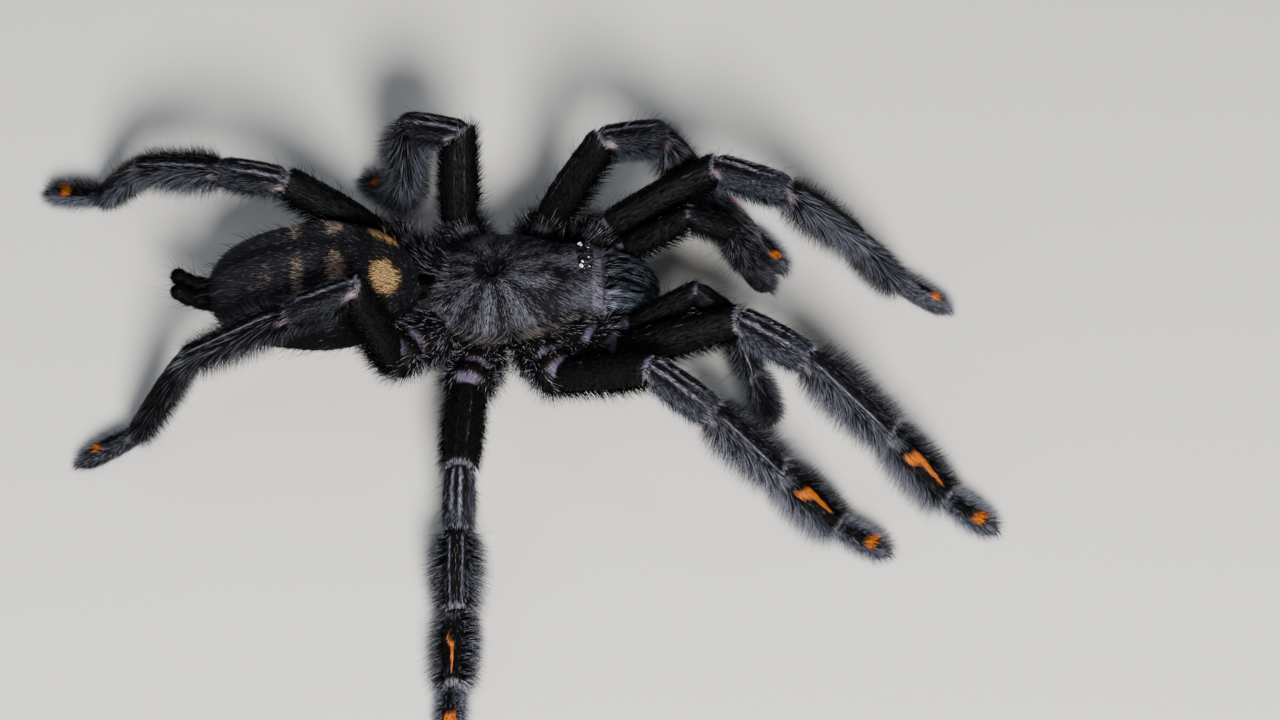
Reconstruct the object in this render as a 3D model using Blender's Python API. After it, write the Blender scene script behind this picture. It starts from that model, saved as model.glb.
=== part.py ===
"""A tarantula, life size, as a still museum model of a Venezuelan sun tiger (Psalmopoeus irminia).

It faces +X with its left side towards +Y, and it stands on z = 0 with its legs spread. Every
piece is as thick as the animal with its coat of hair on. Neighbouring pieces are parted by a
thin cut, because a spider's own plates and leg segments are separate pieces of shell.
"""

import math

import bmesh
import bpy
from mathutils import Vector

MM = 0.001
CUT = 0.3 * MM  # the thin cut between one piece and the next

# Body, in metres. The carapace's rim lies at RIM_HEIGHT above the floor.
CARAPACE_LENGTH = 20.8 * MM
CARAPACE_MIDDLE = 0.9 * MM  # its place along X
CARAPACE_HALF_WIDTH = 8.9 * MM
CARAPACE_RISE = 4.5 * MM
CARAPACE_EDGE = 1.0 * MM  # how far the rim's edge is turned down
RIM_HEIGHT = 12.3 * MM
HIPS_DEPTH = 4.8 * MM  # from the carapace's underside down to the sternum's face
ABDOMEN_LENGTH = 26.8 * MM
ABDOMEN_HALF_WIDTH = 8.4 * MM
ABDOMEN_HALF_HEIGHT = 8.2 * MM
ABDOMEN_FRONT = -10.7 * MM
ABDOMEN_AXIS_HEIGHT = 13.6 * MM
PEDICEL_RADIUS = 1.3 * MM
PEDICEL_HEIGHT = 12.4 * MM
EYE_MOUND_X = 9.4 * MM
EYE_MOUND_HALF_LENGTH = 1.0 * MM
EYE_MOUND_HALF_WIDTH = 2.1 * MM
# Each eye's place ahead, to the side and up from the mound's foot, and its radius, in millimetres.
EYES = ((0.45, 0.8, 0.6, 0.4), (0.42, 1.8, 0.3, 0.34), (-0.5, 1.75, 0.34, 0.32), (-0.42, 1.3, 0.56, 0.24))

# The jaws. Each chelicera runs on in equal steps, each turned further below the level.
CHELICERA_HALF_WIDTH = 2.45 * MM
CHELICERA_HALF_HEIGHT = 2.9 * MM
CHELICERA_APART = 2.6 * MM  # from the middle plane to each one's axis
CHELICERA_HEIGHT = 11.8 * MM
CHELICERA_STEP = 1.0 * MM
CHELICERA_BEND = (0, 4, 12, 24, 38, 52, 64, 72, 76)
CHELICERA_SWELL = (0.86, 0.97, 1.03, 1.05, 1.03, 0.97, 0.86, 0.68, 0.42)
FANG_START = (17.5 * MM, 6.95 * MM)  # along X and up
FANG_RADIUS = 0.72 * MM
FANG_TIP_RADIUS = 0.10 * MM
FANG_STEP = 0.78 * MM
FANG_BEND = (118, 132, 146, 160, 174, 188, 202)

# A spinneret's three finger joints, from where the first leaves the abdomen, in millimetres.
SPINNERET_START = (-37.6, 1.3, 12.2)
SPINNERET_PATH = (
    (0, 0, 0), (-0.9, 0, 0.35), (-1.7, 0, 0.8), (-2.1, 0, 1.1), (-3.0, 0, 1.9), (-3.5, 0, 2.4), (-4.1, 0, 3.2),
)
SPINNERET_RADII = (0.75, 1.0, 1.1, 1.0, 1.05, 0.95, 0.5)

# The carapace's outline from its rear to its front: place along it from -1 to 1, width and height
# as shares of the full ones. The height dips at the fovea and rises again over the head.
CARAPACE_OUTLINE = (
    (-1.0, 0.32, 0.14), (-0.93, 0.55, 0.32), (-0.8, 0.75, 0.46), (-0.6, 0.92, 0.62), (-0.4, 1.0, 0.76),
    (-0.22, 1.0, 0.70), (-0.05, 0.97, 0.90), (0.2, 0.88, 1.0), (0.45, 0.76, 1.05), (0.68, 0.67, 1.08),
    (0.86, 0.61, 1.08), (0.96, 0.57, 0.95), (1.0, 0.51, 0.75),
)

SEGMENTS = ("femur", "patella", "tibia", "metatarsus", "tarsus")
# Length of each leg's five segments, in millimetres, pair by pair from the front.
LEG_LENGTHS = {
    1: (18.3, 10.4, 14.2, 11.5, 7.5),
    2: (16.8, 9.6, 12.0, 10.7, 7.4),
    3: (14.8, 7.9, 10.2, 10.8, 7.1),
    4: (17.0, 8.9, 14.0, 15.4, 8.1),
}
# Where each left femur meets its trochanter, in millimetres from the carapace's middle on the
# floor, and where its coxa starts beside the sternum. The right side mirrors them.
HIP_END = {1: (11.3, 10.5, 10.6), 2: (4.7, 12.9, 9.4), 3: (-5.8, 13.0, 9.2), 4: (-14.8, 10.5, 10.3)}
HIP_START = {1: (5.2, 3.4), 2: (2.2, 4.0), 3: (-1.4, 4.0), 4: (-4.6, 3.4)}
HIP_START_HEIGHT = 7.9
# The pose: each segment's heading (0 is forward, 90 is left) and its climb above the horizon,
# in degrees. The climb is eased by one small angle for each leg, so that the foot meets the floor.
LEG_POSES = {
    ("right", 1): ((-9, 27), (-41, 0), (-26, -39), (-27, -44), (-42, -9)),
    ("right", 2): ((-34, 35), (-43, -7), (-19, -44), (-18, -44), (-34, -9)),
    ("right", 3): ((-96, 3), (-94, -24), (-93, -21), (-94, -6), (-95, -11)),
    ("right", 4): ((-151, 72), (-181, -26), (-176, -26), (-181, -63), (-156, -13)),
    ("left", 1): ((4, 34), (-35, 8), (7, -47), (12, -57), (-34, -12)),
    ("left", 2): ((3, 60), (30, -25), (5, -63), (-2, -58), (-58, -9)),
    ("left", 3): ((84, 77), (148, -16), (104, -79), (92, -64), (138, -9)),
    ("left", 4): ((180, 42), (156, -8), (146, -25), (128, -53), (162, -12)),
}
# Each segment's half width, its rise above its axis and its depth below it, coat included, in
# millimetres: for legs 1 and 2, for legs 3 and for legs 4.
FRONT_LEG = ((2.4, 2.4, 3.3), (2.9, 2.3, 3.3), (4.1, 2.3, 3.3), (3.9, 2.0, 2.6), (2.9, 1.4, 1.4))
THIRD_LEG = ((2.6, 2.4, 2.8), (2.5, 2.1, 2.6), (3.8, 2.2, 2.8), (3.7, 1.9, 2.3), (2.7, 1.4, 1.4))
HIND_LEG = ((2.6, 2.5, 2.8), (2.7, 2.2, 3.1), (3.6, 2.2, 3.2), (3.4, 1.9, 2.6), (2.7, 1.4, 1.4))
LEG_SECTIONS = {1: FRONT_LEG, 2: FRONT_LEG, 3: THIRD_LEG, 4: HIND_LEG}
# How the thickness runs from a segment's near end to its far end, as shares of the full size.
SEGMENT_PROFILE = {
    "femur": (0.84, 0.97, 1.0, 0.98, 0.92, 0.84),
    "patella": (0.84, 0.98, 1.0, 0.98, 0.88),
    "tibia": (0.74, 0.97, 1.0, 0.97, 0.74),
    "metatarsus": (0.68, 0.96, 1.0, 0.96, 0.66),
    "tarsus": (0.74, 0.94, 1.0, 1.0, 0.92, 0.6),
}
FOOT_PRESS = 0.3 * MM  # how much of the coat under each foot is pressed flat on the floor

PALP_SEGMENTS = ("femur", "patella", "tibia", "tarsus")
PALP_LENGTHS = (11.5, 6.0, 7.5, 7.5)
PALP_SECTIONS = ((1.9, 1.9, 2.1), (2.0, 1.8, 2.1), (2.6, 2.1, 2.6), (2.3, 1.7, 2.0))
PALP_HIP_START = (6.8, 5.2)
PALP_HIP_END = (13.8, 6.9, 10.5)
PALP_POSES = {
    "right": ((-3, 40), (-22, -34), (-50, -59), (-48, -60)),
    "left": ((-6, 39), (2, -24), (17, -70), (30, -64)),
}
SIDES = {"left": 1, "right": -1}
LIMB_CORNERS = 10
HIP_CORNERS = 8

COLOURS = {
    "shell": (0.012, 0.012, 0.014),
    "abdomen": (0.016, 0.015, 0.014),
    "fang": (0.02, 0.006, 0.005),
    "eye": (0.01, 0.01, 0.012),
    "foot": (0.035, 0.035, 0.04),
}


def clear_scene():
    for thing in list(bpy.data.objects):
        bpy.data.objects.remove(thing)


def shell_material(name, roughness):
    material = bpy.data.materials.get(name) or bpy.data.materials.new(name)
    material.use_nodes = True
    surface = material.node_tree.nodes["Principled BSDF"]
    surface.inputs["Base Color"].default_value = (*COLOURS[name], 1)
    surface.inputs["Roughness"].default_value = roughness
    surface.inputs["Metallic"].default_value = 0.0
    return material


def solid(name, rings, material):
    """One closed body lofted through rings of equally many points, with a fan on each end."""
    mesh = bpy.data.meshes.new(name)
    work = bmesh.new()
    loops = [[work.verts.new(point) for point in ring] for ring in rings]
    for one, two in zip(loops, loops[1:]):
        for here in range(len(one)):
            nxt = (here + 1) % len(one)
            work.faces.new((one[here], one[nxt], two[nxt], two[here]))
    for loop in (loops[0], loops[-1]):
        middle = work.verts.new(sum((v.co for v in loop), Vector()) / len(loop))
        for here in range(len(loop)):
            work.faces.new((loop[here], loop[(here + 1) % len(loop)], middle))
    bmesh.ops.recalc_face_normals(work, faces=work.faces)
    work.to_mesh(mesh)
    work.free()
    mesh.materials.append(material)
    mesh.shade_smooth()
    thing = bpy.data.objects.new(name, mesh)
    bpy.context.scene.collection.objects.link(thing)
    return thing


def united(name, pieces, material, cutters=()):
    """The pieces joined into one body, less the cutters, one Boolean after another."""
    whole = pieces[0]
    for piece in (*pieces[1:], *cutters):
        step = whole.modifiers.new("step", "BOOLEAN")
        step.operation = "DIFFERENCE" if piece in cutters else "UNION"
        step.solver = "EXACT"
        step.object = piece
        graph = bpy.context.evaluated_depsgraph_get()
        joined = bpy.data.meshes.new_from_object(whole.evaluated_get(graph))
        whole.modifiers.clear()
        whole.data = joined
        bpy.data.objects.remove(piece)
    whole.name = name
    whole.data.name = name
    whole.data.materials.clear()
    whole.data.materials.append(material)
    return whole


def heading_vector(heading, climb):
    heading, climb = math.radians(heading), math.radians(climb)
    level = math.cos(climb)
    return Vector((math.cos(heading) * level, math.sin(heading) * level, math.sin(climb)))


def side_vector(heading):
    heading = math.radians(heading)
    return Vector((-math.sin(heading), math.cos(heading), 0))


def oval(centre, side, up, half_width, rise, corners, depth=None, fullness=1.0):
    """Points round an oval that rises over its centre and, if depth is given, hangs lower below.

    Fullness over 1 squares it, as on a flattened limb.
    """
    points = []
    for corner in range(corners):
        turn = 2 * math.pi * corner / corners
        across, lift = math.cos(turn), math.sin(turn)
        across = math.copysign(abs(across) ** (1 / fullness), across) * half_width
        height = depth if depth is not None and lift < 0 else rise
        lift = math.copysign(abs(lift) ** (1 / fullness), lift) * height
        points.append(centre + side * across + up * lift)
    return points


# ---------------------------------------------------------------- limbs


def limb_joints(start, pose, lengths):
    """The joints' places along a limb, from its first one to its tip."""
    joints = [start]
    for (heading, climb), length in zip(pose, lengths):
        joints.append(joints[-1] + heading_vector(heading, climb) * length * MM)
    return joints


def settled_pose(start, pose, lengths, tip_height):
    """The pose with every segment but the last eased up or down until the tip is at tip_height."""
    low, high = -25.0, 25.0
    for _ in range(40):
        ease = (low + high) / 2
        tried = [(heading, climb + ease) for heading, climb in pose[:-1]] + [pose[-1]]
        if limb_joints(start, tried, lengths)[-1].z > tip_height:
            high = ease
        else:
            low = ease
    return tried


def foot_height(climb, length, depth):
    """The height of a tarsus's tip that lets the floor take FOOT_PRESS off its underside."""
    return (0.94 * depth + 0.25 * length * math.sin(math.radians(climb))) * MM - FOOT_PRESS


def mitre(point, along, joint, normal, gap):
    """The point slid along the limb onto the plane through the joint, gap short of it."""
    reach = (joint - point).dot(normal) + gap
    return point + along * (reach / along.dot(normal))


def limb_segment(name, start, end, pose, planes, section, profile, material, rounded_tip=False):
    """One segment: an oval tube from start to end, cut at each end by the joint's own plane.

    planes holds the normals of the two cuts. The slant of a cut fades out along the tube.
    """
    along = (end - start).normalized()
    side = side_vector(pose[0])
    up = along.cross(side)
    length = (end - start).length
    half_width, rise, depth = (size * MM for size in section)
    stations = [index / (len(profile) - 1) for index in range(len(profile))]
    rings = []
    fade = min(2.6 * max(half_width, depth), 0.5 * length)
    for station, share in zip(stations, profile):
        centre = start + along * (length * station)
        ring = oval(centre, side, up, half_width * share, rise * share, LIMB_CORNERS, depth * share, 1.15)
        placed = []
        for point in ring:
            shift = 0.0
            for joint, normal, gap, distance in (
                (start, planes[0], CUT / 2, length * station),
                (end, planes[1], -CUT / 2, length * (1 - station)),
            ):
                level = point - along * (point - joint).dot(along)
                slant = (mitre(level, along, joint, normal, gap) - level).dot(along)
                shift += slant * max(0.0, 1 - distance / fade) ** 1.2
            placed.append(point + along * shift)
        rings.append(placed)
    if rounded_tip:
        last = rings.pop()
        middle = sum(last, Vector()) / len(last)
        rings.append([middle + (point - middle) * 0.95 - along * 0.10 * length for point in last])
        rings.append([middle + (point - middle) * 0.55 for point in last])
    rings = [[Vector((p.x, p.y, max(p.z, 0.0))) for p in ring] for ring in rings]
    return solid(name, rings, material)


def cut_normals(outward, joints):
    """The normal of each cut along a limb: it halves the bend between the two neighbours."""
    directions = [outward] + [(b - a).normalized() for a, b in zip(joints, joints[1:])]
    normals = [(one + two).normalized() for one, two in zip(directions, directions[1:])]
    return normals + [directions[-1]]


def limb(prefix, names, joints, normals, pose, sections, materials):
    """Every segment of a leg or palp, from the trochanter's end to the foot."""
    for index, name in enumerate(names):
        limb_segment(
            f"{prefix}_{name}",
            joints[index],
            joints[index + 1],
            pose[index],
            (normals[index], normals[index + 1]),
            sections[index],
            SEGMENT_PROFILE[name],
            materials[index],
            rounded_tip=index == len(names) - 1,
        )


def hip(start, end, normal, size):
    """A coxa and its trochanter, as one tube waisted where they meet."""
    along = (end - start).normalized()
    side = Vector((-along.y, along.x, 0)).normalized()
    up = along.cross(side)
    length = (end - start).length
    thickness = ((0.0, 2.3), (0.4, 2.75), (0.68, 2.4), (0.86, 2.65), (1.0, 2.2))
    rings = []
    for share, radius in thickness:
        centre = start + along * (share * length)
        ring = oval(centre, side, up, radius * size * MM, radius * size * MM, HIP_CORNERS)
        if share == 1.0:
            ring = [mitre(point, along, end, normal, -CUT) for point in ring]
        rings.append(ring)
    return solid("hip", rings, shell_material("shell", 0.6))


# ---------------------------------------------------------------- body


def carapace_height(share):
    """The midline's height over the rim, read along the outline."""
    for (one, _, low), (two, _, high) in zip(CARAPACE_OUTLINE, CARAPACE_OUTLINE[1:]):
        if one <= share <= two:
            return CARAPACE_RISE * (low + (high - low) * (share - one) / (two - one))
    return 0.0


def carapace(grow=0.0):
    """The shield over the front body. Grown a little, it cuts the hips clear of itself."""
    rings = []
    for share, width, height in CARAPACE_OUTLINE:
        half, rise = CARAPACE_HALF_WIDTH * width, CARAPACE_RISE * height
        x = CARAPACE_MIDDLE + share * (CARAPACE_LENGTH / 2 + grow)
        ring = []
        for index in range(13):
            across = math.cos(math.pi * index / 12)
            crown = max(0.0, 1 - abs(across) ** 2.3) ** 0.62
            ring.append(Vector((x, (half + grow) * across, RIM_HEIGHT + (rise + grow) * crown)))
        for across in (-0.97, -0.5, 0.5, 0.97):
            ring.append(Vector((x, (half + grow) * across, RIM_HEIGHT - CARAPACE_EDGE - grow)))
        rings.append(ring)
    return solid("carapace", rings, shell_material("shell", 0.6))


def underside(hips):
    """The sternum with its labium, and the ten hips that spread from it, as one body."""
    shell = shell_material("shell", 0.6)
    top = RIM_HEIGHT - CARAPACE_EDGE - CUT
    rings = []
    for share, size in ((0.0, 0.90), (0.3, 0.94), (0.7, 0.80), (0.92, 0.55), (1.0, 0.36)):
        centre = Vector((CARAPACE_MIDDLE - 0.8 * MM, 0, top - share * HIPS_DEPTH))
        half_length = (CARAPACE_LENGTH / 2 - 1.2 * MM) * size
        half_width = (CARAPACE_HALF_WIDTH - 1.6 * MM) * size
        rings.append(oval(centre, Vector((1, 0, 0)), Vector((0, 1, 0)), half_length, half_width, 16))
    pieces = [solid("sternum", rings, shell)] + [hip(*measures) for measures in hips]
    cutters = [carapace(CUT)] + [chelicera("cutter", sign, CUT) for sign in SIDES.values()]
    return united("sternum_and_hips", pieces, shell, cutters)


def hip_start(place, sign):
    return Vector((place[0], place[1] * sign, HIP_START_HEIGHT)) * MM


def hip_end(place, sign):
    return Vector((place[0], place[1] * sign, place[2])) * MM


def pedicel():
    """The narrow stalk between the front and back halves of the body."""
    back = ABDOMEN_FRONT
    front = CARAPACE_MIDDLE - CARAPACE_LENGTH / 2 - CUT
    rings = []
    for x in (back, (front + back) / 2, front):
        centre = Vector((x, 0, PEDICEL_HEIGHT))
        rings.append(oval(centre, Vector((0, 1, 0)), Vector((0, 0, 1)), PEDICEL_RADIUS, PEDICEL_RADIUS, 12))
    return solid("pedicel", rings, shell_material("shell", 0.6))


def abdomen():
    """An egg, blunt in front and drawn out towards the spinnerets."""
    rings = []
    count = 15
    for index in range(count):
        turn = math.pi * (0.06 + 0.88 * index / (count - 1))
        share = (1 - math.cos(turn)) / 2
        girth = math.sin(turn) ** 0.86
        girth *= 1 - 0.16 * max(0.0, share - 0.45)
        x = ABDOMEN_FRONT - CUT - ABDOMEN_LENGTH * (share - (1 - math.cos(math.pi * 0.06)) / 2)
        centre = Vector((x, 0, ABDOMEN_AXIS_HEIGHT - 1.1 * MM * max(0.0, share - 0.5)))
        width, height = ABDOMEN_HALF_WIDTH * girth, ABDOMEN_HALF_HEIGHT * girth
        rings.append(oval(centre, Vector((0, 1, 0)), Vector((0, 0, 1)), width, height, 20))
    return solid("abdomen", rings, shell_material("abdomen", 0.8))


def finger(name, points, sizes, material, corners):
    """A tapering oval finger through the points, with its half width and half height at each."""
    rings = []
    for index, (point, (half_width, half_height)) in enumerate(zip(points, sizes)):
        before = points[max(index - 1, 0)]
        after = points[min(index + 1, len(points) - 1)]
        along = (after - before).normalized()
        side = along.cross(Vector((0, 0, 1))).normalized()
        rings.append(oval(point, side, side.cross(along), half_width, half_height, corners))
    return solid(name, rings, material)


def bent_path(start, bends, step, drift=0.0):
    """Points a step apart from the start, each step turned down by the next bend, in degrees."""
    points = [start]
    for bend in bends[:-1]:
        turn = math.radians(bend)
        points.append(points[-1] + Vector((math.cos(turn), drift, -math.sin(turn))) * step)
    return points


def spinneret(name, sign):
    """One of the two long spinnerets: three finger joints, bent up behind the abdomen."""
    ahead, apart, height = SPINNERET_START
    start = Vector((ahead, apart * sign, height))
    points = [(start + Vector(place)) * MM for place in SPINNERET_PATH]
    sizes = [(radius * MM, radius * MM) for radius in SPINNERET_RADII]
    return finger(name, points, sizes, shell_material("abdomen", 0.8), 8)


def chelicera(name, sign, grow=0.0):
    """The stout base joint of a jaw: it leaves the head level and bends down over its fang."""
    start = Vector((CARAPACE_MIDDLE + CARAPACE_LENGTH / 2 + CUT, CHELICERA_APART * sign, CHELICERA_HEIGHT))
    points = bent_path(start, CHELICERA_BEND, CHELICERA_STEP)
    sizes = []
    for swell in CHELICERA_SWELL:
        across = min(1.0, swell + 0.03)
        sizes.append(((CHELICERA_HALF_WIDTH + grow) * across, (CHELICERA_HALF_HEIGHT + grow) * swell))
    return finger(name, points, sizes, shell_material("shell", 0.6), 14)


def fang(name, sign):
    """A curved fang folded back under its jaw."""
    start = Vector((FANG_START[0], CHELICERA_APART * sign, FANG_START[1]))
    points = bent_path(start, FANG_BEND, FANG_STEP, -0.05 * sign)
    sizes = []
    for index in range(len(points)):
        radius = FANG_RADIUS * (1 - index / (len(points) - 1)) ** 0.8 + FANG_TIP_RADIUS
        sizes.append((radius, radius))
    return finger(name, points, sizes, shell_material("fang", 0.25), 8)


def eye_mound():
    """The low mound on the head with its eight eyes in two rows."""
    share = (EYE_MOUND_X - CARAPACE_MIDDLE) / (CARAPACE_LENGTH / 2)
    foot = RIM_HEIGHT + carapace_height(share) + CUT
    forward, left = Vector((1, 0, 0)), Vector((0, 1, 0))
    rings = []
    for rise, size in ((0.0, 1.0), (0.35, 0.95), (0.7, 0.75), (0.85, 0.4)):
        centre = Vector((EYE_MOUND_X, 0, foot + rise * MM))
        half_length, half_width = EYE_MOUND_HALF_LENGTH * size, EYE_MOUND_HALF_WIDTH * size
        rings.append(oval(centre, forward, left, half_length, half_width, 14))
    pieces = [solid("mound", rings, shell_material("eye", 0.2))]
    for sign in SIDES.values():
        for ahead, outward, rise, radius in EYES:
            middle = Vector((EYE_MOUND_X + ahead * MM, outward * sign * MM, foot + rise * MM))
            pieces.append(lens(middle, radius * MM))
    return united("eye_mound", pieces, shell_material("eye", 0.2))


def lens(middle, radius):
    rings = []
    for turn in (20, 55, 90, 125, 160):
        height = -math.cos(math.radians(turn)) * radius
        size = math.sin(math.radians(turn)) * radius
        centre = middle + Vector((0, 0, height))
        rings.append(oval(centre, Vector((1, 0, 0)), Vector((0, 1, 0)), size, size, 8))
    return solid("lens", rings, shell_material("eye", 0.2))


# ---------------------------------------------------------------- the animal


def build_limbs():
    """The legs and palps. Returns what each hip needs: its two ends, its cut and its size."""
    shell, foot = shell_material("shell", 0.6), shell_material("foot", 0.9)
    hips = []
    for (side, pair), pose in LEG_POSES.items():
        start = hip_start(HIP_START[pair], SIDES[side])
        end = hip_end(HIP_END[pair], SIDES[side])
        lengths, sections = LEG_LENGTHS[pair], LEG_SECTIONS[pair]
        tip_height = foot_height(pose[-1][1], lengths[-1], sections[-1][2])
        settled = settled_pose(end, pose, lengths, tip_height)
        joints = limb_joints(end, settled, lengths)
        normals = cut_normals((end - start).normalized(), joints)
        materials = (shell, shell, foot, foot, foot)
        limb(f"leg_{pair}_{side}", SEGMENTS, joints, normals, settled, sections, materials)
        hips.append((start, end, normals[0], 1.0))
    for side, pose in PALP_POSES.items():
        start = hip_start(PALP_HIP_START, SIDES[side])
        end = hip_end(PALP_HIP_END, SIDES[side])
        joints = limb_joints(end, pose, PALP_LENGTHS)
        normals = cut_normals((end - start).normalized(), joints)
        materials = (shell, shell, foot, foot)
        limb(f"palp_{side}", PALP_SEGMENTS, joints, normals, pose, PALP_SECTIONS, materials)
        hips.append((start, end, normals[0], 0.85))
    return hips


def centre_on_origin():
    """Moves the whole model so that the middle of its box's base is the origin."""
    points = [thing.matrix_world @ v.co for thing in bpy.data.objects for v in thing.data.vertices]
    middle_x = (min(p.x for p in points) + max(p.x for p in points)) / 2
    middle_y = (min(p.y for p in points) + max(p.y for p in points)) / 2
    for thing in bpy.data.objects:
        thing.location = (-middle_x, -middle_y, 0)


def main():
    clear_scene()
    carapace()
    underside(build_limbs())
    eye_mound()
    pedicel()
    abdomen()
    for side, sign in SIDES.items():
        chelicera(f"chelicera_{side}", sign)
        fang(f"fang_{side}", sign)
        spinneret(f"spinneret_{side}", sign)
    centre_on_origin()


main()
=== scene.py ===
"""A tarantula as a still museum model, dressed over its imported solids.

One skin of dark shell runs under the coat of the whole body. The coat is solid hairs set on that
skin by Geometry Nodes. Every place comes from the frame, and sizes are in metres.
"""

import functools
import math

import bmesh
import bpy
import numpy as np
from mathutils import Matrix, Vector, noise
from mathutils.bvhtree import BVHTree


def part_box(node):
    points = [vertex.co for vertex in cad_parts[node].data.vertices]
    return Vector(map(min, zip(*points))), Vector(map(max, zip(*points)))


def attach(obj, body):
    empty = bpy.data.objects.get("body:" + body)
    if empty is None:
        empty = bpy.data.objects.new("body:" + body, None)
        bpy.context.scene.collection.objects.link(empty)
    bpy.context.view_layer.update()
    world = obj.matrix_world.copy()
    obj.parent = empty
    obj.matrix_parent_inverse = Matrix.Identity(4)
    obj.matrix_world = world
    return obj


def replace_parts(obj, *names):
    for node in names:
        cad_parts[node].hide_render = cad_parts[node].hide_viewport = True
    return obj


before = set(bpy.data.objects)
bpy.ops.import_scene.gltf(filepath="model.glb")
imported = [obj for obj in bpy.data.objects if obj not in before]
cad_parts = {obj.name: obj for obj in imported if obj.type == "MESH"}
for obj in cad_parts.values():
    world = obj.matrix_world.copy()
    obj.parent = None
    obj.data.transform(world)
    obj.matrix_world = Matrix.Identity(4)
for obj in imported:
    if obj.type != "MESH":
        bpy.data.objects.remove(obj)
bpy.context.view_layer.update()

MM = 0.001
UP = Vector((0, 0, 1))
SIDES = {"left": 1, "right": -1}
LEG_SEGMENTS = ("femur", "patella", "tibia", "metatarsus", "tarsus")
PALP_SEGMENTS = ("femur", "patella", "tibia", "tarsus")
FEWER = 1.0


def linear(colour):
    """An sRGB hex colour as linear red, green and blue."""
    values = [int(colour[at : at + 2], 16) / 255 for at in (0, 2, 4)]
    return tuple(v / 12.92 if v <= 0.04045 else ((v + 0.055) / 1.055) ** 2.4 for v in values)


# The hairs' colours.
VELVET = linear("040405")
BLACK_HAIR = linear("0b0b0d")
SABLE_HAIR = linear("25252b")
# A paler grey that paints the sheen of light on the abdomen's top.
PAINTED_SHEEN_HAIR = linear("34343b")
SLATE_HAIR = linear("5a5d6b")
FRINGE_HAIR = linear("6f7280")
PALE_HAIR = linear("a3a3b2")
ORANGE_HAIR = linear("ec7f16")
GOLD_HAIR = linear("bf9d6c")
DUSTY_HAIR = linear("b3a196")
BROWN_HAIR = linear("7d7568")
STEEL_HAIR = linear("6c6d79")
SILVER_HAIR = linear("8f8f9c")
LILAC_HAIR = linear("a9a7bd")
BLUE_HAIR = linear("707a8a")
# The bare shell's colours.
SOFT_SKIN = linear("7f6c75")
BLACK_SHELL = linear("060607")
STRIPE_SHELL = linear("6a687a")
MEMBRANE = linear("56536b")
RED_SHELL = linear("36150f")


def blend(one, two, share):
    return tuple(a + (b - a) * share for a, b in zip(one, two))


def step(value, low, high):
    """0 below low, 1 above high and smooth between; low may be above high."""
    share = min(max((value - low) / (high - low), 0.0), 1.0)
    return share * share * (3 - 2 * share)


def bump(value, middle, reach):
    """1 at the middle, falling smoothly to 0 at reach from it."""
    return step(abs(value - middle), reach, 0.0)


def along_table(table, share):
    """A value read from evenly spaced values by smooth steps, share from 0 to 1."""
    place = min(max(share, 0.0), 1.0) * (len(table) - 1)
    first = min(int(place), len(table) - 2)
    return table[first] + (table[first + 1] - table[first]) * step(place - first, 0, 1)


def cloud(point, size):
    """Smooth noise from -1 to 1 whose swells are about size millimetres across."""
    return noise.noise(Vector(point) / (size * MM))


def on_circle(turn):
    """How far across and up a turn in degrees goes on a circle of radius 1."""
    return math.cos(math.radians(turn)), math.sin(math.radians(turn))


def add_to_scene(name, data):
    thing = bpy.data.objects.new(name, data)
    bpy.context.scene.collection.objects.link(thing)
    return thing


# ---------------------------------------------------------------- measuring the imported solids

SLIVER = 1e-10  # faces under this area, in square metres, aren't measured


def box_corners(name):
    low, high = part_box(name)
    return Vector(low), Vector(high)


def node_faces(name):
    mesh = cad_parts[name].data
    mesh.calc_loop_triangles()
    points = np.array([tuple(v.co) for v in mesh.vertices])
    return points, np.array([tuple(t.vertices) for t in mesh.loop_triangles])


def end_middles(name):
    """The middles of a limb segment's two cut ends, each the largest flat face at that end."""
    points, triangles = node_faces(name)
    corners = points[triangles]
    crossed = np.cross(corners[:, 1] - corners[:, 0], corners[:, 2] - corners[:, 0])
    area = np.linalg.norm(crossed, axis=1) / 2
    real = area > SLIVER
    corners, crossed, area = corners[real], crossed[real], area[real]
    normals = crossed / (2 * area)[:, None]
    centres = corners.mean(axis=1)
    middle = points.mean(axis=0)
    axis = np.linalg.svd(points - middle, full_matrices=False)[2][0]
    ends = []
    for sign in (-1, 1):
        facing = np.nonzero((sign * (normals @ axis) > 0.5) & (sign * ((centres - middle) @ axis) > 0))[0]
        best, best_area = None, 0.0
        for pick in facing:
            level = np.abs((centres[facing] - centres[pick]) @ normals[pick]) < 0.03 * MM
            same = facing[(normals[facing] @ normals[pick] > 0.9995) & level]
            if area[same].sum() > best_area:
                best, best_area = same, area[same].sum()
        ends.append(Vector(np.average(centres[best], axis=0, weights=area[best])))
    return ends


def limb_joints(nodes):
    """The joints of a limb, from its hip's end to its tip."""
    nearest = Vector(np.array(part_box("carapace")).mean(axis=0))
    joints = []
    for name in nodes:
        near, far = sorted(end_middles(name), key=lambda end: (end - nearest).length)
        if joints:
            joints[-1] = (joints[-1] + near) / 2
        else:
            joints.append(near)
        joints.append(far)
        nearest = far
    return joints


def cross_section(name, start, end):
    """Half the width of a segment's middle, its rise above its axis and its depth below it."""
    points, triangles = node_faces(name)
    tree = BVHTree.FromPolygons(points.tolist(), triangles.tolist())
    along = (end - start).normalized()
    side = UP.cross(along).normalized()
    over = along.cross(side)
    middle = (start + end) / 2
    left, right, rise, depth = (tree.ray_cast(middle, way)[3] for way in (side, -side, over, -over))
    return (left + right) / 2, rise, depth


# ---------------------------------------------------------------- the skin and what grows on it

NUMBERS = ("length", "reach", "slope", "thick", "hairs", "bristles", "marked", "gloss")
TINTS = ("tint", "mark", "shell")


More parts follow.
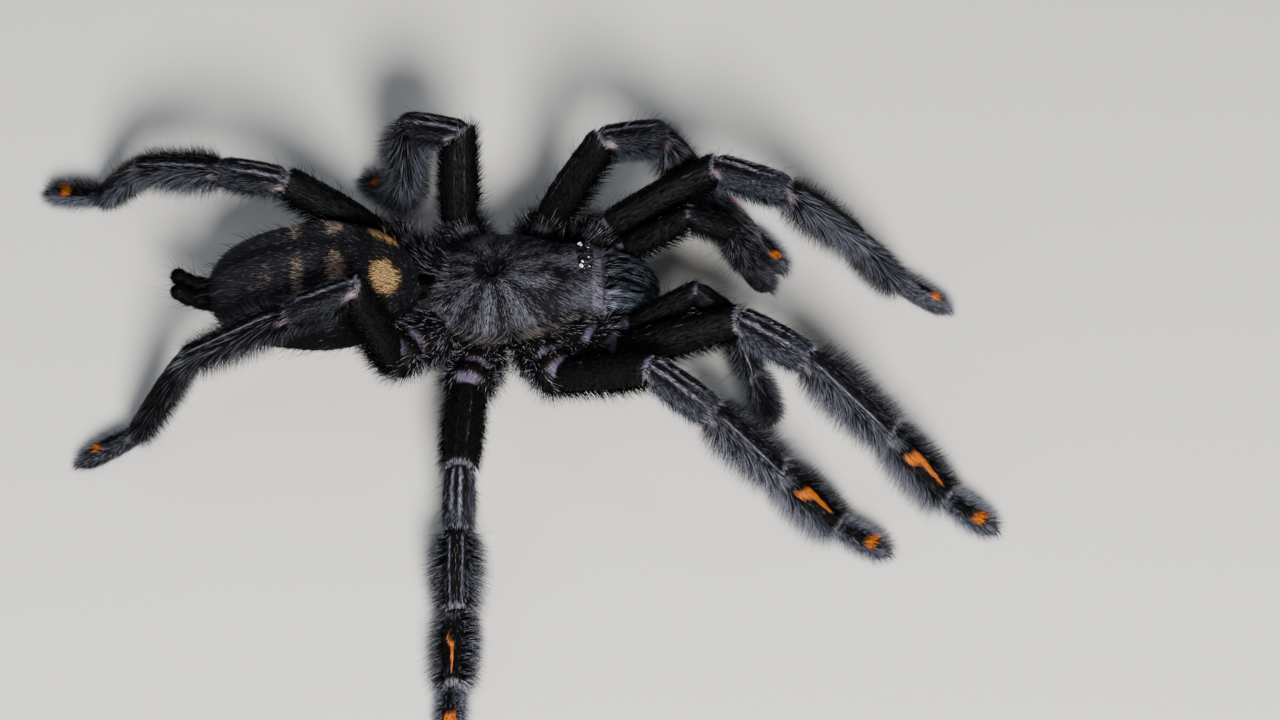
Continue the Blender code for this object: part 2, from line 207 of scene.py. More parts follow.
def growth(tint, mark=PALE_HAIR, marked=0.0, **sizes):
    """What grows on one point of the skin.

    Hairs and bristles are counts for each square millimetre. A hair has the tint or, by chance,
    the mark's colour: marked is the share of those. Length (of the hairs), reach (of the bristles)
    and thick are in millimetres, slope is how steeply the hair leaves the skin, and shell and
    gloss belong to the bare skin.
    """
    grown = {
        "tint": tint, "mark": mark, "marked": marked, "shell": BLACK_SHELL, "gloss": 0.0,
        "length": 1.0, "reach": 3.2, "slope": 0.3, "thick": 0.08, "hairs": 40.0, "bristles": 0.0,
    }
    grown.update(sizes)
    return grown


def tube_faces(rows, count, first=0):
    """The faces of a tube of rings whose points are numbered from first, with a cap on each end."""
    faces = []
    for row in range(rows - 1):
        one, two = first + row * count, first + (row + 1) * count
        for here in range(count):
            after = (here + 1) % count
            faces.append((one + here, one + after, two + after, two + here))
    last = first + (rows - 1) * count
    return faces + [tuple(range(first, first + count))[::-1], tuple(range(last, last + count))]


def tube_unwrap(rows, count, cell):
    """Where the corners of those faces go in a cell of the unwrap."""
    places = []
    for row in range(rows - 1):
        low, high = row / (rows - 1), (row + 1) / (rows - 1)
        for here in range(count):
            left, right = here / count, (here + 1) / count
            places += [(low, left), (low, right), (high, right), (high, left)]
    places += [(0.0, 0.5)] * count + [(1.0, 0.5)] * count
    u0, v0, u1, v1 = cell
    return [(u0 + (u1 - u0) * u, v0 + (v1 - v0) * v) for u, v in places]


def skin_piece(name, rings, cell):
    """Closes rings of (point, lie, growth) into a stretch of skin that carries both as fields."""
    points, lies, grown = zip(*[spot for ring in rings for spot in ring])
    rows, count = len(rings), len(rings[0])
    mesh = bpy.data.meshes.new(name)
    mesh.from_pydata([tuple(point) for point in points], [], tube_faces(rows, count))
    fields = [(field, "FLOAT", "value", [g[field] for g in grown]) for field in NUMBERS]
    fields += [(field, "FLOAT_COLOR", "color", [(*g[field], 1) for g in grown]) for field in TINTS]
    fields.append(("lie", "FLOAT_VECTOR", "vector", [tuple(lie) for lie in lies]))
    for field, kind, key, values in fields:
        held = mesh.attributes.new(field, kind, "POINT")
        held.data.foreach_set(key, np.array(values, dtype=np.float32).ravel())
    flat = np.array(tube_unwrap(rows, count, cell), dtype=np.float32)
    mesh.uv_layers.new(name="OFBake").data.foreach_set("uv", flat.ravel())
    mesh.shade_smooth()
    outward(mesh)
    return add_to_scene(name, mesh)


def outward(mesh):
    """Turns every face of closed shells outwards."""
    work = bmesh.new()
    work.from_mesh(mesh)
    bmesh.ops.recalc_face_normals(work, faces=work.faces)
    work.to_mesh(mesh)
    work.free()


# ---------------------------------------------------------------- what grows on the limbs

# How far the pattern leans to the leg's rear side and from which turns off its middle line, front
# and rear, the fringe stands. In degrees.
PATTERN = {
    "patella": (10, -80, 80), "tibia": (6, -30, 34), "metatarsus": (16, -24, 50), "tarsus": (16, -12, 24),
}
# The fringe's growth on the front side, by pair of legs; a palp is pair 0.
FRONT_FRINGE = {1: 1.0, 2: 1.0, 3: 0.8, 4: 0.35, 0: 0.6}
FRINGE_ALONG = (0.7, 0.95, 1.0, 1.0, 0.95, 0.8)  # its growth along a segment
FRINGE_LENGTH = 1.35  # as a share of the gap between the bare segment and its solid's side
# How grey the hair is: by segment on the front side, and by pair of legs on the front and the rear. The third
# pair's low rear share is painted shade.
FRONT_GREY = {"patella": 0.65, "tibia": 0.75, "metatarsus": 0.38, "tarsus": 0.8}
PAIR_GREY_AND_SHADE = {1: (1.0, 1.0), 2: (1.0, 1.0), 3: (1.1, 0.42), 4: (0.4, 0.8), 0: (0.42, 0.42)}
# The orange hook's size by pair of legs: a small hook is only a curved line.
HOOK_SIZE = {1: 1.0, 2: 1.0, 3: 0.42, 4: 0.36, 0: 0.0}
HOOK_CORNER = 0.44  # where the hook bends, as a share of the metatarsus
HOOK_END = 0.86  # where it ends


def groom_hip(grown, kind, share, away, end, rough):
    """Black, with long curling silver hair in arcs round the joints."""
    side = step(away, 22, 62)
    seen = 0.3 + 0.7 * step(share, 0.1, 0.4) if kind == "coxa" else 1.0
    grown.update(
        mark=SILVER_HAIR, marked=0.14 + 0.18 * rough + 0.3 * end, length=1.5 + 1.1 * side,
        slope=0.45 + 0.35 * side, thick=0.055, hairs=20.0 * seen, reach=3.2,
        bristles=3.5 * seen * step(away, 150, 100) * (0.3 + 0.7 * side),
    )


def groom_femur(grown, share, rearward, away, rough):
    """Black velvet with a thin pale line or two, and long black hair along the sides and below."""
    span = step(share, 0.08, 0.3) * step(share, 0.95, 0.8)
    line = max(bump(rearward, -18, 4), 0.35 * bump(rearward, 14, 5)) * span * (0.55 + 0.9 * rough)
    below = step(away, 110, 160)
    grown.update(
        tint=VELVET, mark=STEEL_HAIR, marked=0.25 * line, hairs=13.0 * (1 - 0.6 * max(line, 0)),
        shell=blend(BLACK_SHELL, STRIPE_SHELL, 0.2 * max(line, 0)), gloss=0.12,
        length=1.0 + 0.8 * step(away, 40, 90) + 0.7 * below, thick=0.08,
        slope=0.22 + 0.7 * step(away, 45, 90) + 0.4 * below,
        bristles=0.35 + 0.2 * step(away, 90, 140), reach=2.6,
    )
    if share > 0.965 and away < 105:
        grown.update(mark=PALE_HAIR, marked=0.6, length=0.5, hairs=40.0, thick=0.045)


def groom_patella(grown, share, away, pair, rough):
    """Two soft pale stripes with a dark line between and beside them, in slate hair."""
    away = abs(away + 5 * rough)
    clear = 1.0 if pair else 0.25
    blur = step(share, 0.5, 0.8)
    pale = bump(away, 17, 12) * step(share, 0.03, 0.12) * (1 - 0.6 * blur) * clear
    slate = max(step(away, 36, 60), 0.8 * blur) * clear
    grown.update(
        mark=SLATE_HAIR, marked=0.04 + 0.5 * slate, hairs=40.0 * (1 - 0.5 * pale), thick=0.055,
        length=0.85 + 0.9 * step(away, 90, 130), slope=0.3 + 1.0 * step(away, 85, 130),
        bristles=0.4, reach=3.0, gloss=0.1 * pale,
        shell=blend(blend(BLACK_SHELL, SLATE_HAIR, 0.12 * slate), STRIPE_SHELL, 0.6 * pale),
    )
    if pale > 0.4:
        grown.update(mark=PALE_HAIR, marked=0.5)
    rim = max(step(share, 0.90, 0.96), step(share, 0.06, 0.03)) * step(away, 105, 75) * clear
    if rim > 0.4:
        grown.update(mark=PALE_HAIR, marked=0.5 * rim, length=0.8)


def groom_tibia(grown, share, away, pair, end):
    """A black band down the back between two pale lines, in a grey fringe."""
    line = bump(away, 27, 8 if pair == 4 else 5) * step(share, 0.06, 0.14) * step(share, 0.97, 0.85)
    grown.update(
        mark=FRINGE_HAIR, marked=0.08 + 0.31 * step(away, 22, 44), hairs=60.0 * (1 - 0.6 * line),
        bristles=0.2 + 1.0 * step(away, 30, 60), reach=3.6, gloss=0.2 * line,
        shell=blend(BLACK_SHELL, STRIPE_SHELL, 0.75 * line),
    )
    if line > 0.45 or (end > 0.6 and away < 60):
        grown.update(mark=PALE_HAIR, marked=0.5)


def hook_on(share, rearward, pair):
    """How much of the orange hook there is at a place on the metatarsus."""
    size = HOOK_SIZE[pair]
    along = share + (0.06 if size == 1 else 0)
    half = size * (15 - 10 * step(along, 0.45, HOOK_END))
    middle = 10 * (along - HOOK_END) + (28 * step(along, 0.55, 0.36) if size < 1 else 0)
    middle -= 20 if pair == 4 else 0
    stripe = step(abs(rearward - middle), half + 3, half - 2 * size) * step(along, HOOK_END, 0.82)
    stripe *= step(along, HOOK_CORNER - 0.10, HOOK_CORNER - 0.065)
    bar = step(abs(along - HOOK_CORNER + 0.0019 * rearward), 0.075, 0.052)
    bar *= step(rearward, -16, -8) * step(rearward, 50, 41)
    return max(stripe, bar if size == 1 else 0.0)


def groom_metatarsus(grown, share, rearward, pair, fringe, end):
    """A black blade of short hair with an orange hook on it, in a grey fringe."""
    blade = (1 - fringe) * step(share, 0.05, 0.2) * step(share, 0.99, 0.92)
    grown.update(
        mark=FRINGE_HAIR, marked=0.68 * (1 - 0.95 * blade), hairs=72.0, bristles=0.1 + 1.3 * fringe,
        reach=3.2,
    )
    orange = hook_on(share, rearward, pair)
    if orange > 0.4:
        grown.update(mark=ORANGE_HAIR, marked=0.95 * orange, bristles=0.0)
        grown.update(shell=blend(BLACK_SHELL, ORANGE_HAIR, 0.3))
    elif end > 0.5 and abs(rearward) < 80:
        grown.update(mark=PALE_HAIR, marked=0.6 * end)


def groom_tarsus(grown, share, rearward, fringe, rough):
    """A black blade again, ended by an orange spot, and grey hair on to the tip."""
    blade = (1 - fringe) * step(share, 0.02, 0.1) * step(share, 0.85, 0.7)
    grown.update(
        tint=blend(SABLE_HAIR, BLACK_HAIR, blade), mark=FRINGE_HAIR, marked=0.9 * (1 - 0.95 * blade),
        hairs=72.0, bristles=0.5 * fringe, reach=2.2,
    )
    spot = step(abs(rearward), 36, 26) * step(share, 0.52, 0.56) * step(share, 0.72, 0.67)
    if spot > 0.4:
        grown.update(mark=ORANGE_HAIR, marked=0.75 + 0.5 * rough)
        grown.update(shell=blend(BLACK_SHELL, ORANGE_HAIR, 0.3))


def comb_fringe(grown, kind, share, rearward, pair, fringe, fringe_reach):
    """The fringe stands well off the sides, and the hair on top lies flat."""
    away = abs(rearward)
    ahead = FRONT_FRINGE[pair] if rearward < 0 else 1.0
    fringe *= along_table(FRINGE_ALONG, share)
    slope = 0.2 + 2.5 * fringe * (ahead + (1 - ahead) * step(away, 90, 130))
    long = fringe * FRINGE_LENGTH * fringe_reach / MM / math.sin(math.atan(slope))
    if kind == "metatarsus" and (rearward < 0 or pair == 4):
        long *= 0.65 if pair == 4 else 0.8
    grown.update(slope=slope, thick=0.042, length=max(0.9, min(long, 1.5 * fringe_reach / MM)))
    if kind == "tarsus":
        grown.update(length=0.8 + 1.1 * fringe, slope=0.2 + 1.4 * fringe)
        if away > 110:
            grown.update(length=0.6, slope=0.5)
    grown["hairs"] *= 1 - 0.4 * step(away, 110, 150)


def bare_joint(grown, kind, share, off_top, joint_skin, from_joint, rough):
    """The soft skin on top of a joint: lilac, rusty at its edges, with a pale line on the femur."""
    strength, width = joint_skin
    bare = step(from_joint, width * MM, 0.6 * width * MM) * step(abs(off_top), 62, 36)
    if bare > 0 and strength > 0.2:
        rust = step(from_joint, 0.3 * width * MM, width * MM) + 0.5 * rough + 0.4 * step(abs(off_top), 20, 55)
        soft = blend(MEMBRANE, RED_SHELL, min(max(rust, 0.0), 1.0))
        if kind == "femur" and share < 0.5:
            soft = blend(soft, PALE_HAIR, bump(from_joint, 0.75 * width * MM, 0.2 * width * MM))
        grown.update(
            shell=blend(grown["shell"], soft, strength * bare), gloss=max(grown["gloss"], 0.8 * bare),
            hairs=grown["hairs"] * (1 - bare), bristles=grown["bristles"] * (1 - bare),
        )


def groom_limb(kind, share, turn, rear_side, pair, fringe_reach, joint_skin, from_joint, point):
    """What grows on a limb at a share of a segment's length and a turn round it, in degrees.

    The turn is 90 on top. rear_side is 1 where turns over 90 are on the segment's rear side, -1
    where they are on its front. A palp is pair 0 and has no orange.
    """
    off_top = turn - 90 if turn <= 270 else turn - 450
    lean, front, rear = PATTERN.get(kind, (0, -180, 180))
    rearward = off_top * rear_side - lean
    away = abs(rearward)
    rough = cloud(point, 1.2)
    end = step(share, 0.86, 0.97)
    fringe = max(step(rearward, rear, rear + 28), step(rearward, front, front - 28))
    grown = growth(BLACK_HAIR)
    if kind in ("coxa", "trochanter"):
        groom_hip(grown, kind, share, away, end, rough)
    elif kind == "femur":
        groom_femur(grown, share, rearward, away, rough)
    elif kind == "patella":
        groom_patella(grown, share, away, pair, rough)
    elif kind == "tibia":
        groom_tibia(grown, share, away, pair, end)
    elif kind == "metatarsus":
        groom_metatarsus(grown, share, rearward, pair, fringe, end)
    elif kind == "tarsus":
        groom_tarsus(grown, share, rearward if pair else 180, fringe, rough)
    if kind in ("tibia", "metatarsus", "tarsus"):
        comb_fringe(grown, kind, share, rearward, pair, fringe, fringe_reach)
    if grown["mark"] in (FRINGE_HAIR, SLATE_HAIR):
        # For the third pair's rear side this share also paints shade over the hair's grey.
        grown["marked"] *= PAIR_GREY_AND_SHADE[pair][0] * FRONT_GREY[kind] if rearward < 0 else PAIR_GREY_AND_SHADE[pair][1]
        if pair == 4 and kind == "metatarsus":
            grown["marked"] *= 0.5
    if kind in ("patella", "tibia") and pair:
        # Soft skin shows on both sides of the knee, under the joint's rim.
        soft = bump(share, 0.06, 0.16 if kind == "patella" else 0.09) * bump(away, 78, 30)
        grown.update(shell=blend(grown["shell"], SOFT_SKIN, soft), hairs=grown["hairs"] * (1 - 0.85 * soft))
    bare_joint(grown, kind, share, off_top, joint_skin, from_joint, rough)
    return grown


# ---------------------------------------------------------------- the limbs' skin

# The bare segment inside its coat, as shares of the solid's half width, rise and depth.
LEG_BARE = {
    "femur": (0.87, 0.88, 0.66), "patella": (0.70, 0.80, 0.64), "tibia": (0.45, 0.76, 0.52),
    "metatarsus": (0.40, 0.74, 0.56), "tarsus": (0.46, 0.74, 0.82),
}
PALP_BARE = {
    "femur": (0.84, 0.86, 0.78), "patella": (0.78, 0.80, 0.74), "tibia": (0.60, 0.76, 0.64),
    "tarsus": (0.62, 0.74, 0.74),
}
# The bare segment's girth from its near joint to its far one, as shares of its middle's.
GIRTH = {
    "coxa": (0.84, 0.94, 1.0, 1.0, 0.92),
    "trochanter": (0.88, 1.0, 1.02, 0.92),
    "femur": (0.82, 0.95, 1.02, 1.03, 1.0, 0.95, 0.93),
    "patella": (0.86, 0.97, 1.02, 1.04, 1.0, 0.92),
    "tibia": (0.84, 0.98, 1.04, 1.0, 0.95, 0.9, 0.86),
    "metatarsus": (0.88, 1.02, 1.06, 1.0, 0.94, 0.88),
    "tarsus": (0.84, 0.98, 1.02, 1.0, 0.9, 0.7),
}
HIP_RADIUS = 2.75 * MM
PALP_HIP_RADIUS = 2.0 * MM
COXA_DROP = 2.3 * MM  # how far the coxa's inner end lies under the hip's joint
COXA_ALONG, COXA_ACROSS = 0.38, 0.32  # how far out it lies from the trunk's middle, as shares
TROCHANTER_AT = 0.70  # where the trochanter starts, as a share of the way from there to the joint
TROCHANTER_GIRTH = 0.98  # as a share of the coxa's
KNUCKLE = 0.08  # how far the hip's soft joint reaches out along the femur, as a share of it
TIP_LENGTH = 0.22  # the rounded end of the last segment, as a share of it
WAIST_REACH = 0.6 * MM  # how far from a joint its waist reaches
# How pale and wide the soft skin shows at each joint, by the segment that ends there.
JOINT_SKIN = {"coxa": (0.9, 0.55), "trochanter": (0.95, 0.65), "femur": (0.6, 0.22)}
HIDDEN_JOINT = (0.12, 0.3)
RING_CORNERS = 44
RING_SPACING = 0.38 * MM
BEND_REACH = 2.6  # how far from a joint its rings are slanted, in half widths
FLOOR_GAP = 0.3 * MM  # the least height of a limb's bare skin over the floor


def ring_turn(corner):
    """A limb ring's corner as a turn in degrees: they lie closer on top, where the marks are."""
    spot = 2 * (corner + 0.5) / RING_CORNERS - 1
    return (90 + 180 * (0.5 * spot + 0.5 * spot**3)) % 360


def limb_course(nodes, kinds, bares, hip_radius):
    """A limb's joints with its hip's, and each segment's bare size and its fringe's reach."""
    joints = limb_joints(nodes)
    sizes = [cross_section(name, a, b) for name, a, b in zip(nodes, joints, joints[1:])]
    joints[0] = joints[0].lerp(joints[1], KNUCKLE)
    bare_sizes = [tuple(a * b for a, b in zip(size, bares[kind])) for size, kind in zip(sizes, kinds)]
    reaches = [size[0] - bare[0] for size, bare in zip(sizes, bare_sizes)]
    trunk = Vector(np.array(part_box("sternum_and_hips")).mean(axis=0))
    hip = joints[0] - trunk
    coxa = Vector((trunk.x + COXA_ALONG * hip.x, trunk.y + COXA_ACROSS * hip.y, joints[0].z - COXA_DROP))
    joints = [coxa, coxa.lerp(joints[0], TROCHANTER_AT)] + joints
    hip_sizes = [(hip_radius,) * 3, (TROCHANTER_GIRTH * hip_radius,) * 3]
    return joints, hip_sizes + bare_sizes, [0.0, 0.0] + reaches


def mitred(point, way, bends):
    """A point slid along its segment, so that the skin's rings at a bend share the bend's plane.

    A bend is its joint, the way across its plane and how much of the slide is made.
    """
    shift = 0.0
    for joint, cut, pull in bends:
        level = point - way * (point - joint).dot(way)
        shift += (joint - level).dot(cut) / way.dot(cut) * pull
    return point + way * shift


def limb_rings(nodes, kinds, bares, rear_side, pair, hip_radius):
    """The rings of a leg's or a palp's bare skin, hip included, with its tip and the tip's way."""
    joints, bare_sizes, reaches = limb_course(nodes, kinds, bares, hip_radius)
    kinds = ("coxa", "trochanter") + kinds
    ways = [(b - a).normalized() for a, b in zip(joints, joints[1:])]
    cuts = [ways[0]] + [(a + b).normalized() for a, b in zip(ways, ways[1:])] + [ways[-1]]
    skins = [HIDDEN_JOINT] + [JOINT_SKIN.get(kind, HIDDEN_JOINT) for kind in kinds]
    rings = []
    for at, kind in enumerate(kinds):
        start, end, way = joints[at], joints[at + 1], ways[at]
        side = UP.cross(way).normalized()
        over = way.cross(side)
        length = (end - start).length
        half_width, rise, depth = bare_sizes[at]
        last = at == len(kinds) - 1
        steps = max(int(length / RING_SPACING), 4)
        fade = min(BEND_REACH * half_width, 0.5 * length)
        for index in range(steps + last):
            share = index / steps
            near, far = length * share, length * (1 - share)
            joint_skin, from_joint = (skins[at], near) if near < far else (skins[at + 1], far)
            girth = along_table(GIRTH[kind], share)
            if last:
                tip = max(0.0, 1 - far / (TIP_LENGTH * length))
                girth *= math.sqrt(max(0.02, 1 - tip * tip))
                from_joint = near
            drawn_in = (0.2 if joint_skin[0] > 0.2 else 0.1) * math.exp(-((from_joint / WAIST_REACH) ** 2))
            waist = 1 - drawn_in * (at > 0)
            bends = [
                (joint, cut, max(0.0, 1 - distance / fade) ** 1.2)
                for joint, cut, distance in ((start, cuts[at], near), (end, cuts[at + 1], far))
            ]
            ring = []
            for corner in range(RING_CORNERS):
                turn = ring_turn(corner)
                across, lift = on_circle(turn)
                point = start + way * near + side * (across * half_width * girth * waist)
                point = point + over * (lift * (rise if lift > 0 else depth) * girth * waist)
                point = mitred(point, way, bends)
                point.z = max(point.z, FLOOR_GAP)
                grown = groom_limb(
                    kind, share, turn, rear_side, pair, reaches[at], joint_skin, from_joint, point
                )
                ring.append((point, way, grown))
            rings.append(ring)
    return rings, joints[-1], ways[-1]


# ---------------------------------------------------------------- the carapace

CARAPACE_OUTLINE = (  # place from rear to front, and shares of the full width and height there
    (-1.0, 0.32, 0.14), (-0.93, 0.55, 0.32), (-0.8, 0.75, 0.46), (-0.6, 0.92, 0.62), (-0.4, 1.0, 0.72),
    (-0.22, 1.0, 0.76), (-0.05, 0.97, 0.88), (0.2, 0.88, 1.0), (0.45, 0.76, 1.05), (0.68, 0.67, 1.08),
    (0.86, 0.61, 1.08), (0.96, 0.57, 0.95), (1.0, 0.51, 0.72),
)
CARAPACE_UNDER = (-0.98, -0.6, 0.0, 0.6, 0.98)  # the corners of its flat underside, across it
CARAPACE_ROWS = 84
CARAPACE_CORNERS = 61  # over its top
CARAPACE_COAT = 0.2 * MM  # the hair's room at its rim, over its back and under it
CARAPACE_TOP_COAT = 0.25 * MM
CARAPACE_UNDER_COAT = 0.15 * MM
FOVEA = -0.30  # the pit's place along the carapace
PIT_OVAL = 0.85  # distances across count this much beside those along, from the pit
PIT_DEPTH = 1.1 * MM
RAYS = 11  # how many swells and furrows spread from the pit on each side
RAY_SWELL = 0.10 * MM
HEAD_FURROW = 0.30 * MM  # the depth of the furrow on each side of the head
RIM_HEIGHT = 1.0 * MM
CLYPEUS = 0.86  # where the front rim's pale hair starts


def smooth_outline(place, column):
    """The outline's width or height at a place, by a curve through its points."""
    places = [row[0] for row in CARAPACE_OUTLINE]
    values = [row[column] for row in CARAPACE_OUTLINE]
    at = max(index for index, spot in enumerate(places[:-1]) if spot <= place + 1e-9)
    gap = places[at + 1] - places[at]
    share = (place - places[at]) / gap
    slopes = []
    for index in (at, at + 1):
        low, high = max(index - 1, 0), min(index + 1, len(places) - 1)
        slopes.append((values[high] - values[low]) / (places[high] - places[low]) * gap)
    a, b, (m, n) = values[at], values[at + 1], slopes
    s2, s3 = share**2, share**3
    return a * (2 * s3 - 3 * s2 + 1) + m * (s3 - 2 * s2 + share) + b * (3 * s2 - 2 * s3) + n * (s3 - s2)


def from_pit(place, across):
    """How far a spot of the carapace is from its pit, and at what angle, in shares of its size."""
    return math.hypot(place - FOVEA, PIT_OVAL * across), math.atan2(across * PIT_OVAL, place - FOVEA)


def groom_carapace(place, across, edge, point):
    """Fine silver hair in rays from the pit, a bare dark patch behind the eyes, a curly brown rim."""
    distance, angle = from_pit(place, across)
    ray = 0.5 + 0.5 * math.cos(RAYS * angle + 1.8 * cloud(point, 3.5))
    ray += 0.5 * math.cos(3.7 * RAYS * angle) * (edge + 0.3)
    bare = bump(place, 0.50, 0.19) * bump(abs(across), 0.37, 0.30)
    dark = max(step(distance, 0.22, 0.08), bare)
    middle = bump(across, 0, 0.14) * step(place, FOVEA, 0.0) * step(place, 0.9, 0.6)
    # Both flanks of the head lose silver hair: partly darker hair there, partly painted shade for the far
    # flank, which lies in shadow.
    head_side = bump(place, 0.5, 0.4) * bump(abs(across), 0.6, 0.35)
    silver = (0.12 + 0.62 * ray * step(distance, 0.08, 0.3)) * (1 - dark)
    silver *= 1 - 0.2 * middle
    silver *= 1 - 0.8 * head_side
    front = step(place, 0.84, 0.93) + 0.4 * step(place, 0.3, 0.8)
    grown = growth(
        blend(BLACK_HAIR, SABLE_HAIR, 0.6 * (1 - dark)), STEEL_HAIR,
        max(silver + 0.3 * front * (1 - dark), 0.04), length=0.7 + 0.15 * ray, slope=0.11,
        thick=0.052, hairs=72.0 * (1 - 0.75 * bare), gloss=0.5 * bare, bristles=0.05,
    )
    if place > CLYPEUS:
        rise = step(place, 0.88, 0.99)
        grown.update(
            mark=LILAC_HAIR, marked=0.4 + 0.15 * ray, length=1.0 + 0.5 * rise, slope=0.2 + 0.4 * rise,
            thick=0.045,
        )
    elif place < -0.8:
        grown.update(
            mark=SILVER_HAIR, marked=0.25 + 0.1 * ray, length=1.7, slope=0.4, bristles=2.5, thick=0.045,
        )
    elif edge > 0.45:
        curl = step(edge, 0.45, 0.8)
        grown.update(
            mark=blend(STEEL_HAIR, BROWN_HAIR, 0.8 * curl), marked=0.26 + 0.14 * ray, thick=0.05,
            length=0.9 + 1.2 * curl, slope=0.16 + 0.25 * curl, hairs=62.0, bristles=1.5 * curl, reach=2.6,
        )
    return grown


def carapace_rings():
    """The shield over the front body: raised head, pit and rays, and a turned-down rim."""
    low, high = box_corners("carapace")
    middle = (low.x + high.x) / 2
    centre_y = (low.y + high.y) / 2
    half_length, half_width = (high.x - low.x) / 2 - CARAPACE_COAT, (high.y - low.y) / 2 - CARAPACE_COAT
    rim = low.z + RIM_HEIGHT
    full_rise = (high.z - rim - CARAPACE_TOP_COAT) / max(row[2] for row in CARAPACE_OUTLINE)
    top = CARAPACE_CORNERS - 1
    spots = [(math.cos(math.pi * index / top), True) for index in range(CARAPACE_CORNERS)]
    spots += [(spot, False) for spot in CARAPACE_UNDER]
    rings = []
    for row in range(CARAPACE_ROWS + 1):
        place = -1 + 2 * row / CARAPACE_ROWS
        half, rise = half_width * smooth_outline(place, 1), full_rise * smooth_outline(place, 2)
        ring = []
        for across, above in spots:
            crown = max(0.0, 1 - abs(across) ** 2.3) ** 0.62
            distance, angle = from_pit(place, across)
            z = low.z + CARAPACE_UNDER_COAT
            if above:
                pit = PIT_DEPTH * math.exp(-(((place - FOVEA) / 0.045) ** 2) - (across / 0.11) ** 2)
                swell = RAY_SWELL * math.cos(RAYS * angle) * bump(distance, 0.42, 0.38)
                neck = abs(across) - 0.18 - 0.5 * step(place, FOVEA, 0.75)
                furrow = HEAD_FURROW * bump(neck, 0, 0.15) * bump(place, 0.2, 0.5)
                z = rim + rise * crown + swell - pit - furrow
            edge = step(crown, 0.45, 0.05) if above else 0.5
            point = Vector((middle + place * half_length, centre_y + half * across, z))
            away = Vector((place - FOVEA, across * half_width / half_length, 0.0))
            lie = away.normalized() if away.length > 0.02 else Vector((1, 0, 0))
            if place > CLYPEUS:
                lie = (lie + Vector((0.6, 0, -0.8)) * step(place, CLYPEUS, 0.96)).normalized()
            along_rim = Vector((math.copysign(1.0, place + 0.1), 0.35 * math.copysign(1.0, across), -0.3))
            lie = lie.lerp(along_rim.normalized(), 0.9 * edge).normalized()
            ring.append((point, lie, groom_carapace(place, across, edge, point)))
        rings.append(ring)
    return rings


# ---------------------------------------------------------------- the abdomen and the trunk

# The gold patches on each side of the back: place along it from the front, turn off the top in
# degrees, half length, half spread in degrees and strength.
GOLD_PATCHES = (
    (0.15, 35, 0.072, 21, 1.0), (0.385, 32, 0.046, 22, 1.0), (0.575, 31, 0.032, 22, 0.6),
    (0.72, 27, 0.018, 15, 0.28),
)
ABDOMEN_COAT = 0.45 * MM
ABDOMEN_SAG = 1.1 * MM  # how far its rear half would sink over a whole length
ABDOMEN_ROWS = 80
ABDOMEN_CORNERS = 72
# The trunk's rings from below: girth as a share of the widest and height as a share of the whole.
TRUNK_OUTLINE = (
    (0.1, 0), (0.3, 0.02), (0.5, 0.08), (0.66, 0.2), (0.78, 0.38), (0.88, 0.6), (0.93, 0.8), (0.93, 1.0),
)
TRUNK_CORNERS = 48
TRUNK_BACK = 0.4 * MM  # how far its middle lies behind the carapace's
TRUNK_IN = (1.6 * MM, 1.8 * MM)  # how far it stays inside the carapace, along and across
TRUNK_COAT = 0.4 * MM


def groom_abdomen(place, turn, point):
    """Black velvet, paired gold patches down the back, and long bristles at the sides and rear. The top's
    paler grey is painted sheen, giving way to black, painted shade, down the sides.
    """
    off_top = abs(turn - 90) if turn <= 270 else 450 - turn
    ragged = cloud(point, 0.9)
    gold = 0.0
    for middle, spot, half_length, half_spread, strength in GOLD_PATCHES:
        apart = math.hypot((place - middle) / half_length, (off_top - spot) / half_spread) + 0.2 * ragged
        gold = max(gold, strength * step(apart, 1.2, 0.7))
    rear = step(place, 0.55, 1.0)
    # Down the sides the top's painted sheen gives way to black, painted shade; the sides also get longer hair
    # and more bristles.
    side = step(off_top, 45, 95)
    back_line = 0.6 * bump(off_top, 0, 13)
    # Black: the sides' painted shade, with the real black front band, back line and ragged spots.
    black = max(0.92 * side, 0.7 * step(place, 0.34, 0.24), back_line, 0.4 * step(ragged, 0.1, 0.6))
    # Sparse steel-grey hairs on the top: partly real grey hair, partly more painted sheen.
    patch, share = STEEL_HAIR, 0.12 * (1 - black) * (1 - 0.6 * rear)
    if gold > 0.05:
        patch, share = blend(GOLD_HAIR, DUSTY_HAIR, step(place, 0.22, 0.42)), 0.9 * gold
    # The tint runs from the painted sheen's grey on the top to velvet black.
    return growth(
        blend(PAINTED_SHEEN_HAIR, VELVET, black), patch, share, shell=blend(BLACK_SHELL, GOLD_HAIR, 0.2 * gold),
        length=0.8 + 0.6 * rear + 0.4 * side, slope=0.18 + 0.25 * rear, thick=0.08,
        hairs=26.0 + 15.0 * step(off_top, 95, 60), bristles=0.3 + 0.3 * max(rear, 0.6 * side),
        reach=2.2 + 1.4 * max(rear, side),
    )


